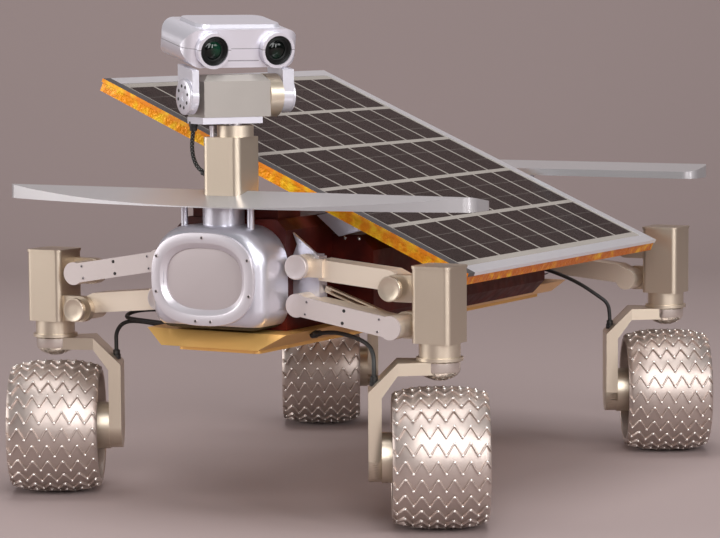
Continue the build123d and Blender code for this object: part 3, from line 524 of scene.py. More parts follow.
# %% Helpers that turn arrays into pieces
def grid_faces(rows, columns, wrap_rows=False, wrap_columns=False):
    """Corner numbers of the four-sided faces of a grid, row by row."""
    row = np.arange(rows if wrap_rows else rows - 1)
    column = np.arange(columns if wrap_columns else columns - 1)
    row, column = np.meshgrid(row, column, indexing="ij")
    next_row = (row + 1) % rows
    next_column = (column + 1) % columns
    corners = (
        row * columns + column,
        row * columns + next_column,
        next_row * columns + next_column,
        next_row * columns + column,
    )
    return np.stack(corners, axis=-1).reshape(-1, 4)


def angles(count):
    """The angles of so many equal steps round a full turn."""
    return np.arange(count) * 2 * pi / count


def circle(angle):
    """Points (cos, sin) of the unit circle at an array of angles."""
    return np.stack((np.cos(angle), np.sin(angle)), axis=-1)


def turned(profile, sides):
    """A closed profile of (height, radius) carried round the X axis."""
    profile = np.array(profile, float)[:, :, None, None]
    height = np.broadcast_to(profile[:, 0], (len(profile), sides, 1))
    points = np.concatenate((height, profile[:, 1] * circle(angles(sides))), axis=-1)
    return points.reshape(-1, 3), grid_faces(len(profile), sides, True, True)


def repeated(faces, times, points):
    """The faces of one item, numbered on for more items of as many points each."""
    return (faces + np.arange(times)[:, None, None] * points).reshape(-1, faces.shape[1])


def copies(shape, places):
    """The same shape at several places, a list of 4 x 4 arrays."""
    points, faces = shape
    places = np.array(places, float)
    spread = points @ places[:, :3, :3].transpose(0, 2, 1) + places[:, None, :3, 3]
    return spread.reshape(-1, 3), repeated(faces, len(places), len(points))


def frame_at(origin, direction, across=(0.0, 0.0, 1.0)):
    """A place whose X axis points along direction and whose Z is near across."""
    x = Vector(direction).normalized()
    y = Vector(across).cross(x)
    if y.length < 1e-6:
        y = Vector((0.0, 1.0, 0.0)).cross(x)
    y.normalize()
    place = np.eye(4)
    place[:3, 0], place[:3, 1], place[:3, 2], place[:3, 3] = x, y, x.cross(y), origin
    return place


def at_both_ends(x, y, z):
    """A place on a face towards the mast's end, and the same turned half round."""
    return [frame_at((x, -y, z), (0.0, -1.0, 0.0)), frame_at((-x, y, z), (0.0, 1.0, 0.0))]


def outwards(points, faces):
    """The faces, turned round if the volume that they enclose is negative."""
    first, second, third, fourth = np.moveaxis(points[faces], 1, 0)
    volume = np.sum(first * (np.cross(second, third) + np.cross(third, fourth)))
    return faces[:, ::-1] if volume < 0 else faces


def dressed(name, mesh, material, body, slot, replaces=None, sharp=35):
    """Make an object from a mesh, with its finish, riding on a body.

    Edges where the surface turns by more than sharp degrees stay hard.
    """
    mesh.shade_smooth()
    mesh.set_sharp_from_angle(angle=radians(sharp))
    mesh.materials.clear()
    mesh.materials.append(material)
    made = linked(name, mesh)
    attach(made, body)
    if replaces:
        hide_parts(replaces)
    return made


def piece(name, shape, places, *finish):
    """Make one object from a shape at its places; the finish is what dressed takes."""
    points, faces = copies(shape, places)
    mesh = bpy.data.meshes.new(name)
    mesh.from_pydata(points.tolist(), [], outwards(points, faces).tolist())
    mesh.validate()
    return dressed(name, mesh, *finish)


print("helpers ready")

# %% [markdown]
# ## Cables
# Each wheel's motor cable leaves the body's flank, crosses in a slack curve and drops to the top
# of the fork. A route of listed points steers one smooth NURBS line, and a round tube follows it.

# %% Follow a route smoothly and wrap a tube round it
cable_diameter = 0.004
cable_sides = 12


def smooth_line(name, route):
    """Points along a NURBS line of order 3 that the route's points pull."""
    curve = bpy.data.curves.new(name, "CURVE")
    curve.dimensions = "3D"
    curve.resolution_u = 10
    spline = curve.splines.new("NURBS")
    spline.points.add(len(route) - 1)
    for control, place in zip(spline.points, route):
        control.co = (*place, 1.0)
    spline.order_u = 3
    spline.use_endpoint_u = True
    carrier = linked(name + "_route", curve)
    bpy.context.view_layer.update()
    traced = bpy.data.meshes.new_from_object(carrier)
    line = np.array([vertex.co for vertex in traced.vertices])
    bpy.data.meshes.remove(traced)
    bpy.data.objects.remove(carrier)
    bpy.data.curves.remove(curve)
    return line


def tube(line):
    """A circle carried along a line without twist, its ends closed."""
    ahead = np.gradient(line, axis=0)
    ahead /= np.linalg.norm(ahead, axis=1)[:, None]
    side = np.cross(ahead[0], (0.0, 0.0, 1.0) if abs(ahead[0][2]) < 0.9 else (1.0, 0.0, 0.0))
    sideways = []
    for direction in ahead:
        side = side - direction * side.dot(direction)
        side = side / np.linalg.norm(side)
        sideways.append(side)
    axes = np.stack((sideways, np.cross(ahead, sideways)), axis=1)
    ring = circle(angles(cable_sides)) @ axes
    points = (line[:, None] + cable_diameter / 2 * ring).reshape(-1, 3)
    walls = grid_faces(len(line), cable_sides, False, True).tolist()
    rim = np.arange(cable_sides)
    last_rim = rim + (len(line) - 1) * cable_sides
    return points, walls + [rim[::-1].tolist(), last_rim.tolist()]


def cable(name, replaced, route, jacket, stiffness, far_body=None, bend_start=None):
    """A round cable on its route; its length is printed.

    Its UV map runs once round the cable, and along it in diameters.
    """
    line = smooth_line(name, route)
    points, faces = tube(line)
    mesh = bpy.data.meshes.new(name)
    mesh.from_pydata(points.tolist(), [], faces)
    mesh.shade_smooth()
    mesh.materials.append(jacket)
    run = np.concatenate(([0.0], np.cumsum(np.linalg.norm(np.diff(line, axis=0), axis=1))))
    row, side = np.meshgrid(np.arange(len(line) - 1), np.arange(cable_sides), indexing="ij")
    around = np.stack((side, side + 1, side + 1, side), axis=-1) / cable_sides
    along = run[np.stack((row, row, row + 1, row + 1), axis=-1)] / cable_diameter
    walls = np.stack((around, along), axis=-1).reshape(-1, 2)
    flat = np.concatenate((walls, np.zeros((2 * cable_sides, 2))))
    coordinates = mesh.uv_layers.new(name="along")
    coordinates.data.foreach_set("uv", flat.astype(np.float32).ravel())
    made = linked(name, mesh)
    if far_body:
        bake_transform(made)
    else:
        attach(made, "root")
    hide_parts(replaced)
    print(name, "length", round(float(run[-1]), 4))


# %% Routes of the five corner cables and the one at the mast
cable_end_x, near_end_y, far_end_y = 0.16197, 0.22675, 0.28625
cable_end_z, fork_top_z = 0.1445, 0.1349
corner_run = [
    (0.0718, -0.240, 0.1682),
    (0.092, -0.246, 0.1725),
    (0.120, -0.258, 0.1718),
    (0.146, -0.272, 0.168),
    (0.1595, -0.2825, 0.1605),
    (cable_end_x, -far_end_y, cable_end_z),
    (cable_end_x, -far_end_y, fork_top_z),
]
corner_routes = {
    "front_left": [
        (-0.0672, -0.226, 0.1656),
        (-0.084, -0.226, 0.165),
        (-0.109, -0.227, 0.1664),
        (-0.130, -0.228, 0.1693),
        (-0.151, -0.228, 0.1685),
        (-0.1618, -0.2272, 0.158),
        (-cable_end_x, -near_end_y, cable_end_z),
        (-cable_end_x, -near_end_y, fork_top_z),
    ],
    "front_right": corner_run,
    "rear_left": [(-x, -y, z) for x, y, z in corner_run],
    "rear_right": [
        (0.0612, 0.212, 0.2043),
        (0.082, 0.212, 0.1955),
        (0.108, 0.2128, 0.1886),
        (0.132, 0.215, 0.179),
        (0.151, 0.2205, 0.166),
        (0.1605, 0.2255, 0.158),
        (cable_end_x, near_end_y, cable_end_z),
        (cable_end_x, near_end_y, fork_top_z),
    ],
}
slack_loop = [
    (-0.0606, -0.212, 0.1835),
    (-0.088, -0.2112, 0.182),
    (-0.119, -0.2116, 0.180),
    (-0.139, -0.212, 0.1786),
    (-0.1469, -0.2199, 0.177),
    (-0.1469, -0.2311, 0.1746),
    (-0.139, -0.239, 0.1728),
    (-0.119, -0.2393, 0.1716),
    (-0.092, -0.2386, 0.1698),
    (-0.0708, -0.238, 0.1676),
]
mast_route = [
    (-0.021, -0.272, 0.3165),
    (-0.0315, -0.2735, 0.3205),
    (-0.036, -0.277, 0.331),
    (-0.0352, -0.281, 0.3422),
    (-0.0315, -0.2855, 0.352),
    (-0.0277, -0.2894, 0.3598),
]
for corner, route in corner_routes.items():
    ends = ("steering_" + corner, route[-4])
    cable("motor_cable_" + corner, "cable_" + corner, route, plain_jacket, "medium", *ends)
cable("slack_cable_front_left", "cable_front_left_loop", slack_loop, plain_jacket, "limp")
cable("head_cable", "cable_head", mast_route, braided_jacket, "limp", "pan", mast_route[1])

# %% [markdown]
# ## Cleated wheels
# Each wheel is turned from one block: a drum, a little smaller towards its
# edges, with thin zigzag walls standing on it that bite into sand. The walls'
# corners carry small studs. A web inside, near the outer end, has six windows
# and the hub. The frame's wheels have coarser cleats, so finer wheels of the
# same size take their place.

# %% Sizes of a wheel, and the four corners
wheel_x, wheel_y, wheel_radius = 0.2135, 0.2565, 0.065
wheel_turn = 30
drum_radius, drum_sides = 0.0621, 96
half_width = 0.044
crown_flat, crown_drop = 0.012, 0.0062
bore_radius = 0.0522
lip, edge_drop = 0.0008, 0.0009
web_near, web_far = 0.028, 0.032
web_windows = 6
wall_rows, wall_periods = 24, 6
wall_swing = 0.0052
wall_top = 0.0024
wall_half = 0.00085
wall_bevel = 0.0003
wall_margin = 0.0004
wall_sink = 0.0006  # how far the walls' feet and the studs' middles are let in
wall_end_drop = 0.0006
corner_softness = 0.96  # 1 would give a zigzag with sharp corners
shaft_radius = 0.0061

corners = {}
for corner, side_x, side_y in (
    ("front_right", 1, -1), ("front_left", -1, -1), ("rear_right", 1, 1), ("rear_left", -1, 1)
):
    axle_turn = radians(wheel_turn if side_x > 0 else wheel_turn + 180)
    corners[corner] = (np.array((wheel_x * side_x, wheel_y * side_y)), axle_turn)


def drum_surface(x):
    """Radius of the drum: level in the middle, then falling off as a square."""
    beyond = np.clip(np.abs(x) - crown_flat, 0.0, None) / (half_width - crown_flat)
    return drum_radius - crown_drop * beyond ** 2


print("corners", list(corners))


# %% A wheel's drum, web and hub
def drum():
    """The drum's closed profile, carried round: crown, rounded lips, inner wall."""
    edge_radius = drum_surface(half_width) - edge_drop
    x = np.linspace(-half_width + lip, half_width - lip, 25)
    crown = np.stack((x, drum_surface(x)), axis=-1)
    inside = [
        (half_width, edge_radius),
        (half_width, bore_radius + lip),
        (half_width - lip, bore_radius),
        (0.0335, bore_radius),
        (0.0265, bore_radius),
        (-half_width + lip, bore_radius),
        (-half_width, bore_radius + lip),
        (-half_width, edge_radius),
    ]
    return turned(np.concatenate((crown, inside)), drum_sides)


def web():
    """A flat ring with windows: cells of a polar grid on two levels, some left out.

    A cell stays where it touches the hub, the rim, or a spoke between windows.
    Each side of a kept cell that has no kept neighbour gets a wall.
    """
    radius = np.array([0.018, 0.0245, 0.0265, 0.0435, 0.0455, bore_radius + 0.0004])
    spoke_root, spoke_waist = 0.26, 0.20
    rings = len(radius) - 1
    share = (np.arange(drum_sides) / drum_sides * web_windows) % 1.0
    from_spoke = np.minimum(share, 1.0 - share)
    kept = np.ones((rings, drum_sides), bool)
    kept[1] = kept[3] = from_spoke < spoke_root
    kept[2] = from_spoke < spoke_waist
    flat = radius[:, None, None] * circle(angles(drum_sides))
    points = np.concatenate([np.insert(flat, 0, x, axis=2) for x in (web_near, web_far)])
    cells = grid_faces(rings + 1, drum_sides, False, True).reshape(rings, drum_sides, 4)
    depth = (rings + 1) * drum_sides
    faces = [cells[kept], cells[kept][:, ::-1] + depth]
    nothing = np.zeros((1, drum_sides), bool)
    around = {
        (0, 1): np.concatenate((nothing, kept[:-1])),
        (1, 2): np.roll(kept, -1, axis=1),
        (2, 3): np.concatenate((kept[1:], nothing)),
        (3, 0): np.roll(kept, 1, axis=1),
    }
    for ends, neighbour in around.items():
        start, end = cells[kept & ~neighbour][:, ends].T
        faces.append(np.stack((end, start, start + depth, end + depth), axis=-1))
    return points.reshape(-1, 3), np.concatenate(faces)


def hub():
    """The hub's closed profile: a stepped cup that seats on the shaft."""
    profile = [
        (0.0270, shaft_radius), (0.0390, shaft_radius), (0.0390, 0.0009), (0.0430, 0.0009),
        (0.0430, 0.0060), (0.0436, 0.0066), (0.0436, 0.0098), (0.0430, 0.0104),
        (0.0415, 0.0110), (0.0410, 0.0170), (0.0400, 0.0180), (0.0325, 0.0185),
        (0.0318, 0.0190), (0.0270, 0.0190),
    ]
    return turned(profile, 48)


# %% A wheel's zigzag walls and studs
def zigzag_walls():
    """Thin walls on the drum that swing from side to side across its width.

    Across the width runs a phase; the swing is the arc sine of its sine,
    softened, so the corners are a little round. The wall's section has six
    corners: a wide foot let into the drum, and a narrower, bevelled top.
    """
    steps = 12 * wall_periods + 1
    x = np.linspace(-half_width + wall_margin, half_width - wall_margin, steps)
    phase = np.linspace(0.0, 2 * pi * wall_periods, steps)
    swing = wall_swing * np.arcsin(corner_softness * np.sin(phase)) / np.arcsin(corner_softness)
    lean = np.sqrt(1 + np.gradient(swing, x) ** 2)
    section = np.array([
        (-1.25, -wall_sink), (-0.8, wall_top - wall_bevel), (-0.5, wall_top),
        (0.5, wall_top), (0.8, wall_top - wall_bevel), (1.25, -wall_sink),
    ])
    height = section[:, 1, None] + drum_surface(x)
    height[1:5, [0, -1]] -= wall_end_drop
    shift = section[:, 0, None] * wall_half * lean
    angle = angles(wall_rows)[:, None, None] + (swing + shift) / drum_radius
    across = np.broadcast_to(x[:, None], (*angle.shape, 1))
    points = np.concatenate((across, height[..., None] * circle(angle)), axis=-1)
    end = np.array([[0, 1, 2, 5], [2, 3, 4, 5]]) * steps
    walls = grid_faces(len(section), steps, True, False)
    one = np.concatenate((walls, end, end[:, ::-1] + steps - 1))
    wear_and_highlight = np.repeat([0.0, -0.6, -1.0, -1.0, -0.6, 0.0], steps)
    faces = repeated(one, wall_rows, len(section) * steps)
    return points.reshape(-1, 3), faces, np.tile(wear_and_highlight, wall_rows)


def studs():
    """A small dome on every corner of the zigzags, pale from wear and a painted highlight."""
    corner = np.arange(2 * wall_periods)
    swing = wall_swing * np.where(corner % 2 == 0, 1.0, -1.0)
    angle = (angles(wall_rows)[:, None] + swing / drum_radius).ravel()
    x = np.tile(((corner + 0.5) / wall_periods - 1) * (half_width - wall_margin), wall_rows)
    places = np.zeros((len(angle), 4, 4))
    places[:, 1:3, 0] = circle(angle)
    places[:, 0, 1] = 1.0
    places[:, 1:3, 2] = circle(angle + pi / 2)
    places[:, 0, 3] = x
    places[:, 1:3, 3] = circle(angle) * (drum_surface(x) + wall_top - wall_sink)[:, None]
    dome = [(-0.0008, 0.0015), (0.0003, 0.00145), (0.0009, 0.0009), (0.0011, 0.0002)]
    sides = 8
    points, _ = turned(dome, sides)
    octagon = np.array([[0, 1, 2, 3], [0, 3, 4, 7], [4, 5, 6, 7]])
    walls = grid_faces(len(dome), sides, False, True)
    top = octagon + (len(dome) - 1) * sides
    one = np.concatenate((walls, top, octagon[:, ::-1]))
    wear_and_highlight = np.repeat((0.2, 1.0, 1.0, 1.0), sides)
    return *copies((points, one), places), np.tile(wear_and_highlight, len(places))


# %% Four wheels in their places
wheel_points, wheel_faces, wheel_wear_and_highlight = [], [], []
start = 0
for points, faces, *wear_and_highlight in (drum(), web(), hub(), zigzag_walls(), studs()):
    wheel_points.append(points)
    wheel_faces.append(outwards(points, faces) + start)
    wheel_wear_and_highlight.append(wear_and_highlight[0] if wear_and_highlight else np.zeros(len(points)))
    start += len(points)
    print("wheel part", len(points), "points", len(faces), "faces")
wheel_shape = np.concatenate(wheel_points), np.concatenate(wheel_faces)
wheel_marks = np.concatenate(wheel_wear_and_highlight).astype(np.float32)

for corner, (centre, turn) in corners.items():
    place = frame_at((*centre, wheel_radius), (cos(turn), sin(turn), 0.0))
    body = "wheel_" + corner
    wheel = piece("cleated_" + body, wheel_shape, [place], tread, body, "titanium_tread", body, 40)
    wheel.data.attributes.new("wear_and_highlight", "FLOAT", "POINT").data.foreach_set("value", wheel_marks)
    print(wheel.name, len(wheel.data.polygons), "faces")

# %% [markdown]
# ## Rounded end shells
# The body ends in two smooth painted shells. On a real machine each is one
# moulding: wide soft corners above, tighter ones below, and a generous
# rounding towards the front that catches one long highlight. The outline is
# a rounded rectangle; moving it inwards while it moves forward rounds the
# front edge.

# %% Outlines of the shells and ports
shell_half_width = 0.062
shell_low, shell_high = 0.176, 0.272
low_radius, high_radius = 0.020, 0.037
port_x, port_z = -0.0016, 0.2234
opening_half_width, opening_half_height = 0.0414, 0.0287
squareness = 2.6  # 2 would give a plain oval


def shell_outline(inset):
    """Points round a rectangle with quarter-circle corners, moved inwards by inset."""
    outline = []
    for number, (side, upward) in enumerate(((1, 1), (-1, 1), (-1, -1), (1, -1))):
        level, radius = (shell_high, high_radius) if upward > 0 else (shell_low, low_radius)
        centre = (side * (shell_half_width - radius), level - upward * radius)
        angle = np.linspace(0.0, pi / 2, 12) + number * pi / 2
        outline.append(centre + (radius - inset) * circle(angle))
    return np.concatenate(outline)


def port_outline(growth):
    """A superellipse, an oval that leans towards a rectangle, round the port."""
    reach = circle(angles(72))
    half_sizes = np.array((opening_half_width, opening_half_height)) + growth
    oval = np.sign(reach) * np.abs(reach) ** (2 / squareness) * half_sizes
    return oval + (port_x, port_z)


def swept_ring(rings):
    """Outlines stacked, each at its depth along -Y; the last joins the first."""
    rows = [np.insert(outline, 1, -depth, axis=1) for outline, depth in rings]
    return np.concatenate(rows), grid_faces(len(rows), len(rows[0]), True, True)


def shrunk(outline, share):
    """The outline pulled towards its middle, to close a face."""
    middle = outline.mean(axis=0)
    return middle + (outline - middle) * share


both_ends = [np.eye(4), np.diag((-1.0, -1.0, 1.0, 1.0))]
print("outline points", len(shell_outline(0.0)), len(port_outline(0.0)))

# %% End shells
shell_back, shell_front = 0.2702, 0.3168
shell_edge = 0.0150
recess_depth = 0.3118
rings = [(shrunk(shell_outline(0.0), share), shell_back) for share in (0.002, 0.6, 1.0)]
for angle in np.linspace(0.0, pi / 2, 9):
    outline = shell_outline(shell_edge * (1 - cos(angle)))
    rings.append((outline, shell_front - shell_edge * (1 - sin(angle))))
rings.append((shrunk(outline, 0.95), shell_front))
rings += [(shrunk(outline, share), recess_depth) for share in (0.945, 0.5, 0.002)]
shell = swept_ring(rings)
piece("rounded_shells", shell, both_ends, shell_silver, "root", "silver_paint", "end_shells", 50)
print("shell outlines", len(rings))

# %% [markdown]
# ## Port rings
# A thick oval ring is screwed on each end, with a sloping inner edge round a
# recessed panel. Its outline is a squared oval; the ring's section is drawn
# as steps that grow outwards from the inner edge.

# %% Port rings and panels
ring_face_y = 0.3190
ring_section = [
    (0.0, 0.3125), (0.0, 0.3150), (0.0005, 0.3155), (0.0042, 0.3184), (0.0048, 0.3188),
    (0.0056, ring_face_y), (0.0136, ring_face_y), (0.0142, 0.3188), (0.0145, 0.3182),
    (0.0145, 0.3125),
]
ring = swept_ring([(port_outline(growth), depth) for growth, depth in ring_section])
piece("oval_rings", ring, both_ends, ring_paint, "root", "pale_cover", "port_rings", 24)

lid_section = [
    (0.002, 0.3122), (0.5, 0.3122), (1.0, 0.3122), (1.0, 0.3136),
    (0.92, 0.3139), (0.6, 0.3143), (0.3, 0.3146), (0.002, 0.3147),
]
lid_outline = port_outline(0.0004)
lid = swept_ring([(shrunk(lid_outline, share), depth) for share, depth in lid_section])
piece("oval_panels", lid, both_ends, panel_paint, "root", "pale_cover", "port_panels", 50)
print("rings and panels made")

# %% [markdown]
# ## Screws
# Small socket screws hold the rings, the link covers and the foil box. One screw is a low turned
# head with a hollow painted dark as its shade; it is repeated wherever a real one sits, always on
# the face that carries it.

# %% Screws in their places
screw_sides = 12


def screws(name, places, radius):
    """Turned heads with a hollow in each, painted dark as shade; one mesh with two finishes."""
    head = [
        (-0.0012, 0.0002), (-0.0012, radius), (0.0003, radius),
        (0.0006, radius * 0.82), (0.0006, radius * 0.60),
    ]
    hollow = [(0.0001, radius * 0.52), (0.0001, 0.0002)]
    shape = turned(head + hollow, screw_sides)
    made = piece(name, shape, places, panel_paint, "root", "pale_cover")
    made.data.materials.append(dark_steel)
    # Painted shade: the hollow's faces get the dark finish for the shade inside it.
    dark = np.repeat(np.arange(len(head + hollow)) >= len(head) - 1, screw_sides)
    dark = np.tile(dark, len(places)).astype(np.int32)
    made.data.polygons.foreach_set("material_index", dark)
    print(name, len(places))


ring_screws = [
    (0.0009, 0.0384), (-0.0493, 0.0200), (0.0500, 0.0192), (-0.0502, -0.0131),
    (0.0513, -0.0137), (-0.0069, -0.0390), (0.0095, -0.0390),
]
ring_places = []
for x, z in ring_screws:
    ring_places += at_both_ends(port_x + x, ring_face_y, port_z + z)
screws("ring_screws", ring_places, 0.0019)

link_inner_x, link_outer_x = 0.0763, 0.1745
link_levels = {"high": 0.2345, "low": 0.199}
link_droop = 0.016
cover_face_y = 0.2800
pair_offset, pair_lean = 0.0057, 0.16
cover_places, cover_holes = [], []
for side_x, level in ((1, "low"), (-1, "high")):
    for share, places in ((0.11, cover_places), (0.51, cover_holes), (0.885, cover_places)):
        middle_x = link_inner_x + share * (link_outer_x - link_inner_x)
        middle_z = link_levels[level] - share * link_droop
        for offset in (-pair_offset, pair_offset):
            x = side_x * (middle_x + offset * pair_lean)
            places += at_both_ends(x, cover_face_y, middle_z + offset)
screws("cover_screws", cover_places, 0.0015)
# The covers' holes are dark discs: painted shade in place of real holes.
hole_profile = [
    (-0.0004, 0.0001), (-0.0004, 0.0016), (0.0002, 0.0016), (0.0003, 0.0013), (0.0001, 0.0001),
]
hole = turned(hole_profile, screw_sides)
piece("cover_holes", hole, cover_holes, dark_steel, "root", "pale_cover")

rivet_profile = [
    (-0.0006, 0.0002), (-0.0006, 0.0019), (0.0002, 0.0018), (0.0007, 0.0011), (0.0009, 0.0002),
]
box_half_width, box_half_length, rivet_height = 0.105, 0.185, 0.2545
rivet_places = []
for x in (-0.0892, -0.0737, 0.0737, 0.0892):
    rivet_places += at_both_ends(x, box_half_length, rivet_height)
for y in np.linspace(-0.165, 0.165, 12):
    for side in (1.0, -1.0):
        place = (side * box_half_width, y, rivet_height)
        rivet_places.append(frame_at(place, (side, 0.0, 0.0)))
rivet = turned(rivet_profile, screw_sides)
piece("foil_rivets", rivet, rivet_places, screw_steel, "root", "silver_paint")
print("holes", len(cover_holes), "rivets", len(rivet_places))

# %% [markdown]
# ## Pin caps
# Where the plain links meet the body, pale turned caps cover their pins. Each
# has a rounded rim and a faint dish, so it shows a ring of light. Champagne
# discs of the same shape sit on the links' outer pins.

# %% Caps and discs on the plain links' pins, and the pin beside the mast's collar
cap_profile = [
    (-0.0040, 0.0002), (-0.0040, 0.0114), (0.0004, 0.0116), (0.0009, 0.0112), (0.0010, 0.0104),
    (0.0006, 0.0094), (0.0005, 0.0040), (0.0005, 0.0002),
]
cap_places, outer_places = [], []
for side_x, level in ((1, "high"), (-1, "low")):
    height = link_levels[level]
    cap_places += at_both_ends(side_x * link_inner_x, cover_face_y, height)
    outer_places += at_both_ends(side_x * link_outer_x, cover_face_y, height - link_droop)
cap = turned(cap_profile, 40)
piece("link_pin_caps", cap, cap_places, cover_paint, "root", "pale_cover")
piece("link_outer_caps", cap, outer_places, champagne, "root", "champagne_metal")

pin_profile = [
    (0.3520, 0.0002), (0.3520, 0.0019), (0.3600, 0.0019), (0.3604, 0.0023), (0.3630, 0.0023),
    (0.3636, 0.0017), (0.3636, 0.0002),
]
pin_place = frame_at((-0.0105, -0.2845, 0.0), (0.0, 0.0, 1.0))
piece("mast_pin", turned(pin_profile, 20), [pin_place], ring_paint, "root", "silver_paint")
print("pin caps", len(cap_places), "outer discs", len(outer_places))

# %% [markdown]
# ## Camera lenses
# Behind each ring sits a black stepped cone and a small domed lens. The dome
# mirrors the studio's soft lights as one bright spot, which makes the eye
# look alive.

# %% Camera lenses
def on_head(sideways, upwards):
    """A point given in the head's own directions, from the tilt axis."""
    return tilt_axis + across * sideways + head_up * upwards


lens_offset, lens_height, lens_sides = 0.0328, 0.044, 48
cone_profile = [
    (0.0032, 0.0002), (0.0032, 0.01372), (0.0074, 0.01372), (0.0078, 0.0133), (0.0072, 0.0126),
    (0.0064, 0.0118), (0.0066, 0.0112), (0.0056, 0.0104), (0.0058, 0.0098), (0.0050, 0.0092),
]
dome_profile = [
    (0.0050, 0.0086), (0.0062, 0.0078), (0.0073, 0.0058), (0.0080, 0.0030), (0.0081, 0.0002),
]
eye_places = [
    frame_at(on_head(head_middle + offset, lens_height), head_front, head_up)
    for offset in (-lens_offset, lens_offset)
]
shape = turned(cone_profile + dome_profile, lens_sides)
eyes = piece("camera_lenses", shape, eye_places, glass, "head", "lens_glass", "lenses", 60)
eyes.data.materials.append(lens_black)
cone = np.repeat((1, 0), (len(cone_profile) * lens_sides, len(dome_profile) * lens_sides))
cone = np.tile(cone, len(eye_places)).astype(np.int32)
eyes.data.polygons.foreach_set("material_index", cone)
print("lenses", len(eye_places))

# %% [markdown]
# ## Tilt bearings
# The head hangs in two round bearings, one on each side of the pan block. A ring of small holes in
# each face is where its screws go; the holes are dark discs, painted shade in place of real depth.

# %% Bearing discs and their holes
disc_face = 0.0026
disc_profile = [
    (0.0002, 0.0002), (0.0002, 0.0166), (0.0014, 0.0168), (0.0022, 0.0162), (disc_face, 0.0150),
    (disc_face, 0.0050), (0.0018, 0.0042), (0.0018, 0.0002),
]
left_face, right_face = -0.0490, 0.0553
hole_ring_radius = 0.0102
disc_places, hole_places = [], []
for face, direction in ((left_face, -across), (right_face, across)):
    centre = on_head(face, 0.0)
    disc_places.append(frame_at(centre, direction, head_up))
    for angle in angles(8) + pi / 8:
        offset = (head_up * cos(angle) + head_front * sin(angle)) * hole_ring_radius
        hole_places.append(frame_at(centre + direction * disc_face + offset, direction, head_up))
disc = turned(disc_profile, 48)
piece("bearing_discs", disc, disc_places, head_silver, "head", "silver_paint")
# Dark discs for the bearing holes: painted shade.
piece("bearing_holes", hole, hole_places, dark_steel, "head", "silver_paint")
print("bearing holes", len(hole_places))

# %% [markdown]
# ## Forks and kingpins
# The fork's arm narrows towards the kingpin and ends in a round eye, and under
# the eye sits a bright cup that keeps the steering bearing in. The frame's
# fork has a wider eye. A merged copy keeps its faces, and only the points
# around the eye and the cone below it move inwards, those of the eye more the
# nearer they are to the outer end.

# %% Narrow the fork's eye on a copy
eye_run = 0.030
eye_radii, eye_levels, eye_narrowing = (0.0195, 0.036), (0.1405, 0.1537), 0.31
cone_radius, cone_levels, cone_narrowing = 0.0190, (0.1355, 0.1450), 0.26


def between(values, limits):
    """Which of the values lie between two limits."""
    return (values > limits[0]) & (values < limits[1])


def narrowed_fork(corner, centre, turn):
    """The fork's own mesh, merged, with its eye drawn towards the kingpin's axis."""
    shape = bmesh.new()
    shape.from_mesh(nodes["fork_" + corner].data)
    bmesh.ops.remove_doubles(shape, verts=shape.verts, dist=0.000005)
    points = np.array([vertex.co for vertex in shape.verts])
    offset = points[:, :2] - centre
    reach = np.linalg.norm(offset, axis=1)
    along_axle = offset @ np.array((cos(turn), sin(turn)))
    towards_end = np.clip((along_axle + eye_run) / eye_run, 0.0, 1.0)
    eye = between(reach, eye_radii) & between(points[:, 2], eye_levels) & (along_axle > -eye_run)
    cone = (reach < cone_radius) & between(points[:, 2], cone_levels)
    factor = np.ones(len(points))
    factor[eye] = 1.0 - eye_narrowing * towards_end[eye] ** 2
    factor[cone] = 1.0 - cone_narrowing
    points[:, :2] = centre + offset * factor[:, None]
    for vertex, place in zip(shape.verts, points):
        vertex.co = place
    mesh = bpy.data.meshes.new("fork_mesh_" + corner)
    shape.to_mesh(mesh)
    shape.free()
    finish = (champagne, "steering_" + corner, "champagne_metal", "fork_" + corner, 32)
    made = dressed("narrow_fork_" + corner, mesh, *finish)
    print(made.name, "points", len(mesh.vertices))


for corner, (centre, turn) in corners.items():
    narrowed_fork(corner, centre, turn)

# %% Cups under the kingpins
cup_profile = [
    (0.1530, 0.0002), (0.1530, 0.0184), (0.1526, 0.0188), (0.1450, 0.0188), (0.1437, 0.0184),
    (0.1420, 0.0174), (0.1402, 0.0156), (0.1386, 0.0132), (0.1373, 0.0104), (0.1364, 0.0074),
    (0.1359, 0.0042), (0.1357, 0.0002),
]
cup = turned(cup_profile, 48)
for corner, (centre, turn) in corners.items():
    place = frame_at((*centre, 0.0), (0.0, 0.0, 1.0))
    body = "steering_" + corner
    piece("kingpin_cup_" + corner, cup, [place], polished_steel, body, "champagne_metal")
print("kingpin cups", len(corners))

# %% [markdown]
# ## Glands and ferrules
# A cable never just meets metal: a black gland grips it where it enters the
# fork, and a short ferrule holds it where it leaves the body.

# %% Glands on the forks and the pan flange, ferrules at the body
gland_profile = [
    (-0.0020, 0.0002), (-0.0020, 0.0042), (0.0025, 0.0042), (0.0030, 0.0036), (0.0065, 0.0034),
    (0.0072, 0.0027), (0.0072, 0.0002),
]
gland_sink, flange_underside = 0.0022, 0.3655
gland_ends = {}
for corner, route in corner_routes.items():
    x, y, _ = route[-1]
    gland_ends[corner] = ("steering_" + corner, (x, y, fork_top_z - gland_sink), (0.0, 0.0, 1.0))
x, y, _ = mast_route[-1]
gland_ends["head"] = ("pan", (x + 0.0003, y - 0.0003, flange_underside), (0.0, 0.0, -1.0))
gland = turned(gland_profile, 20)
for name, (body, end, direction) in gland_ends.items():
    piece("gland_" + name, gland, [frame_at(end, direction)], dark_steel, body, "black_cable")

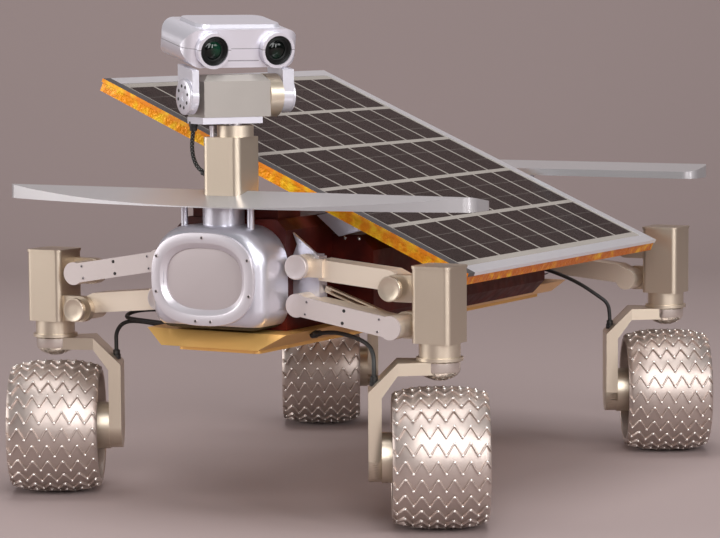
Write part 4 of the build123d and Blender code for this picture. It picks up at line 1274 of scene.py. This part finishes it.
ferrule_profile = [
    (-0.0025, 0.0002), (-0.0025, 0.0036), (0.0030, 0.0036), (0.0036, 0.0030), (0.0085, 0.0028),
    (0.0092, 0.0024), (0.0092, 0.0002),
]
ferrule_places = []
for start, second, *_ in (*corner_routes.values(), slack_loop, slack_loop[::-1], mast_route):
    ferrule_places.append(frame_at(start, Vector(second) - Vector(start)))
piece("ferrules", turned(ferrule_profile, 20), ferrule_places, dark_steel, "root", "black_cable")
print("glands", len(gland_ends), "ferrules", len(ferrule_places))

# %% [markdown]
# ## Finishes for the frame's own parts
# The machined parts keep the frame's shape, and only get their real finish.
# One table pairs each finish with the parts that wear it.

# %% Give every remaining part its finish
finishes = {
    champagne: [
        "drive_front_right", "drive_front_left", "drive_rear_right", "drive_rear_left",
        "steering_boxes", "link_struts", "mast", "hinge_bearings", "tilt_motor",
    ],
    lit_link_champagne: ["links"],
    silver: ["link_brackets", "deck_posts", "panel_hangers", "panel_rail"],
    head_silver: ["head_shell_lower", "head_shell_upper", "head_lid", "lens_rings", "ears"],
    block_grey: ["pan_block"],
    cover_paint: ["link_covers"],
    deck_metal: ["decks"],
    gold: ["belly_tray", "belly_plate"],
    dark_foil: ["equipment_box"],
    amber_foil: ["panel_tray"],
    edge_metal: ["panel_frame"],
    cells: ["panel_cells"],
}
for material, names in finishes.items():
    for name in names:
        if not nodes[name].material_slots:
            nodes[name].data.materials.append(material)
        for slot in nodes[name].material_slots:
            slot.material = material
print("finished", sum(len(names) for names in finishes.values()), "parts")

# %% [markdown]
# ## Floor, backdrop and light
# The machine stands on a plain floor that curves up behind it. A large soft
# light beside the camera and a slim one further round give the long white
# highlights on the metal, one above lights the decks, one at each side opens
# the shadows, and the last lights the backdrop.

# %% Floor and backdrop
def stage_paint(name, color):
    """Plain matt paint, seen from its front only, so that no view is walled off."""
    surface = Surface(name, color, 0.0, 0.75)
    slow = surface.noise(1.5, 1.0)
    surface.set("Base Color", surface.mix(slow, tinted(color, 0.985), tinted(color, 1.015)))
    behind = surface.node("ShaderNodeNewGeometry", output="Backfacing")
    clear = surface.node("ShaderNodeBsdfTransparent")
    painted = Value(surface, surface.shader.outputs["BSDF"])
    either = surface.node("ShaderNodeMixShader", {0: behind, 1: painted, 2: clear})
    surface.plug(surface.tree.nodes["Material Output"].inputs["Surface"], either)
    return surface.material


view_direction = np.array((-sin(camera_turn), cos(camera_turn), 0.0))
sideways = np.array((cos(camera_turn), sin(camera_turn), 0.0))
upright = np.array((0.0, 0.0, 1.0))
floor_reach, sweep_start, sweep_radius, sweep_height = 14.0, 2.2, 1.6, 4.0
bend = np.linspace(0.0, pi / 2, 24)
distance = sweep_start + sweep_radius * np.sin(bend)
distance = np.concatenate(([-floor_reach, 0.0], distance, [sweep_start + sweep_radius]))
height = sweep_radius * (1 - np.cos(bend))
height = np.concatenate(([0.0, 0.0], height, [sweep_height + sweep_radius]))
line = distance[:, None] * view_direction + height[:, None] * upright
sheet = np.stack((line - floor_reach * sideways, line + floor_reach * sideways), axis=1)
mesh = bpy.data.meshes.new("floor")
mesh.from_pydata(sheet.reshape(-1, 3).tolist(), [], grid_faces(len(line), 2).tolist())
mesh.shade_smooth()
mesh.materials.append(stage_paint("floor_paint", (0.335, 0.262, 0.255)))
linked("floor", mesh)
print("floor made")


# %% Lights
def softbox(name, turn, rise, distance, size, power, color=(1, 1, 1), target=(0, 0, 0.2)):
    """A rectangular light that looks at its target from a turn and a rise."""
    angle, lift = radians(turn), radians(rise)
    target = Vector(target)
    away = Vector((sin(angle) * cos(lift), -cos(angle) * cos(lift), sin(lift)))
    lamp = bpy.data.lights.new(name, "AREA")
    lamp.shape = "RECTANGLE"
    lamp.size, lamp.size_y = size
    lamp.energy = power
    lamp.color = color
    aim = (-away).to_track_quat("-Z", "Y").to_matrix().to_4x4()
    linked(name, lamp).matrix_world = Matrix.Translation(target + distance * away) @ aim


softbox("key_light", 33.0, 28.0, 3.4, (1.3, 2.6), 72.0)
softbox("edge_light", 64.0, 18.0, 3.6, (0.45, 2.2), 34.0)
softbox("left_light", -58.0, 12.0, 4.5, (3.9, 1.8), 88.0, color=(1.0, 0.985, 0.97))
softbox("right_light", 88.0, 22.0, 4.2, (1.5, 1.2), 35.0)
softbox("top_light", 0.0, 86.0, 3.0, (2.0, 1.8), 54.0)
softbox("backdrop_light", 29.7, 62.0, 2.6, (2.4, 0.6), 22.0, target=(-1.2, 2.1, 1.0))
world = bpy.data.worlds.new("studio")
scene.world = world
world.use_nodes = True
world.node_tree.nodes["Background"].inputs["Color"].default_value = (0.80, 0.79, 0.82, 1.0)
world.node_tree.nodes["Background"].inputs["Strength"].default_value = 0.13
scene.view_settings.view_transform = "Standard"
print("lights set")
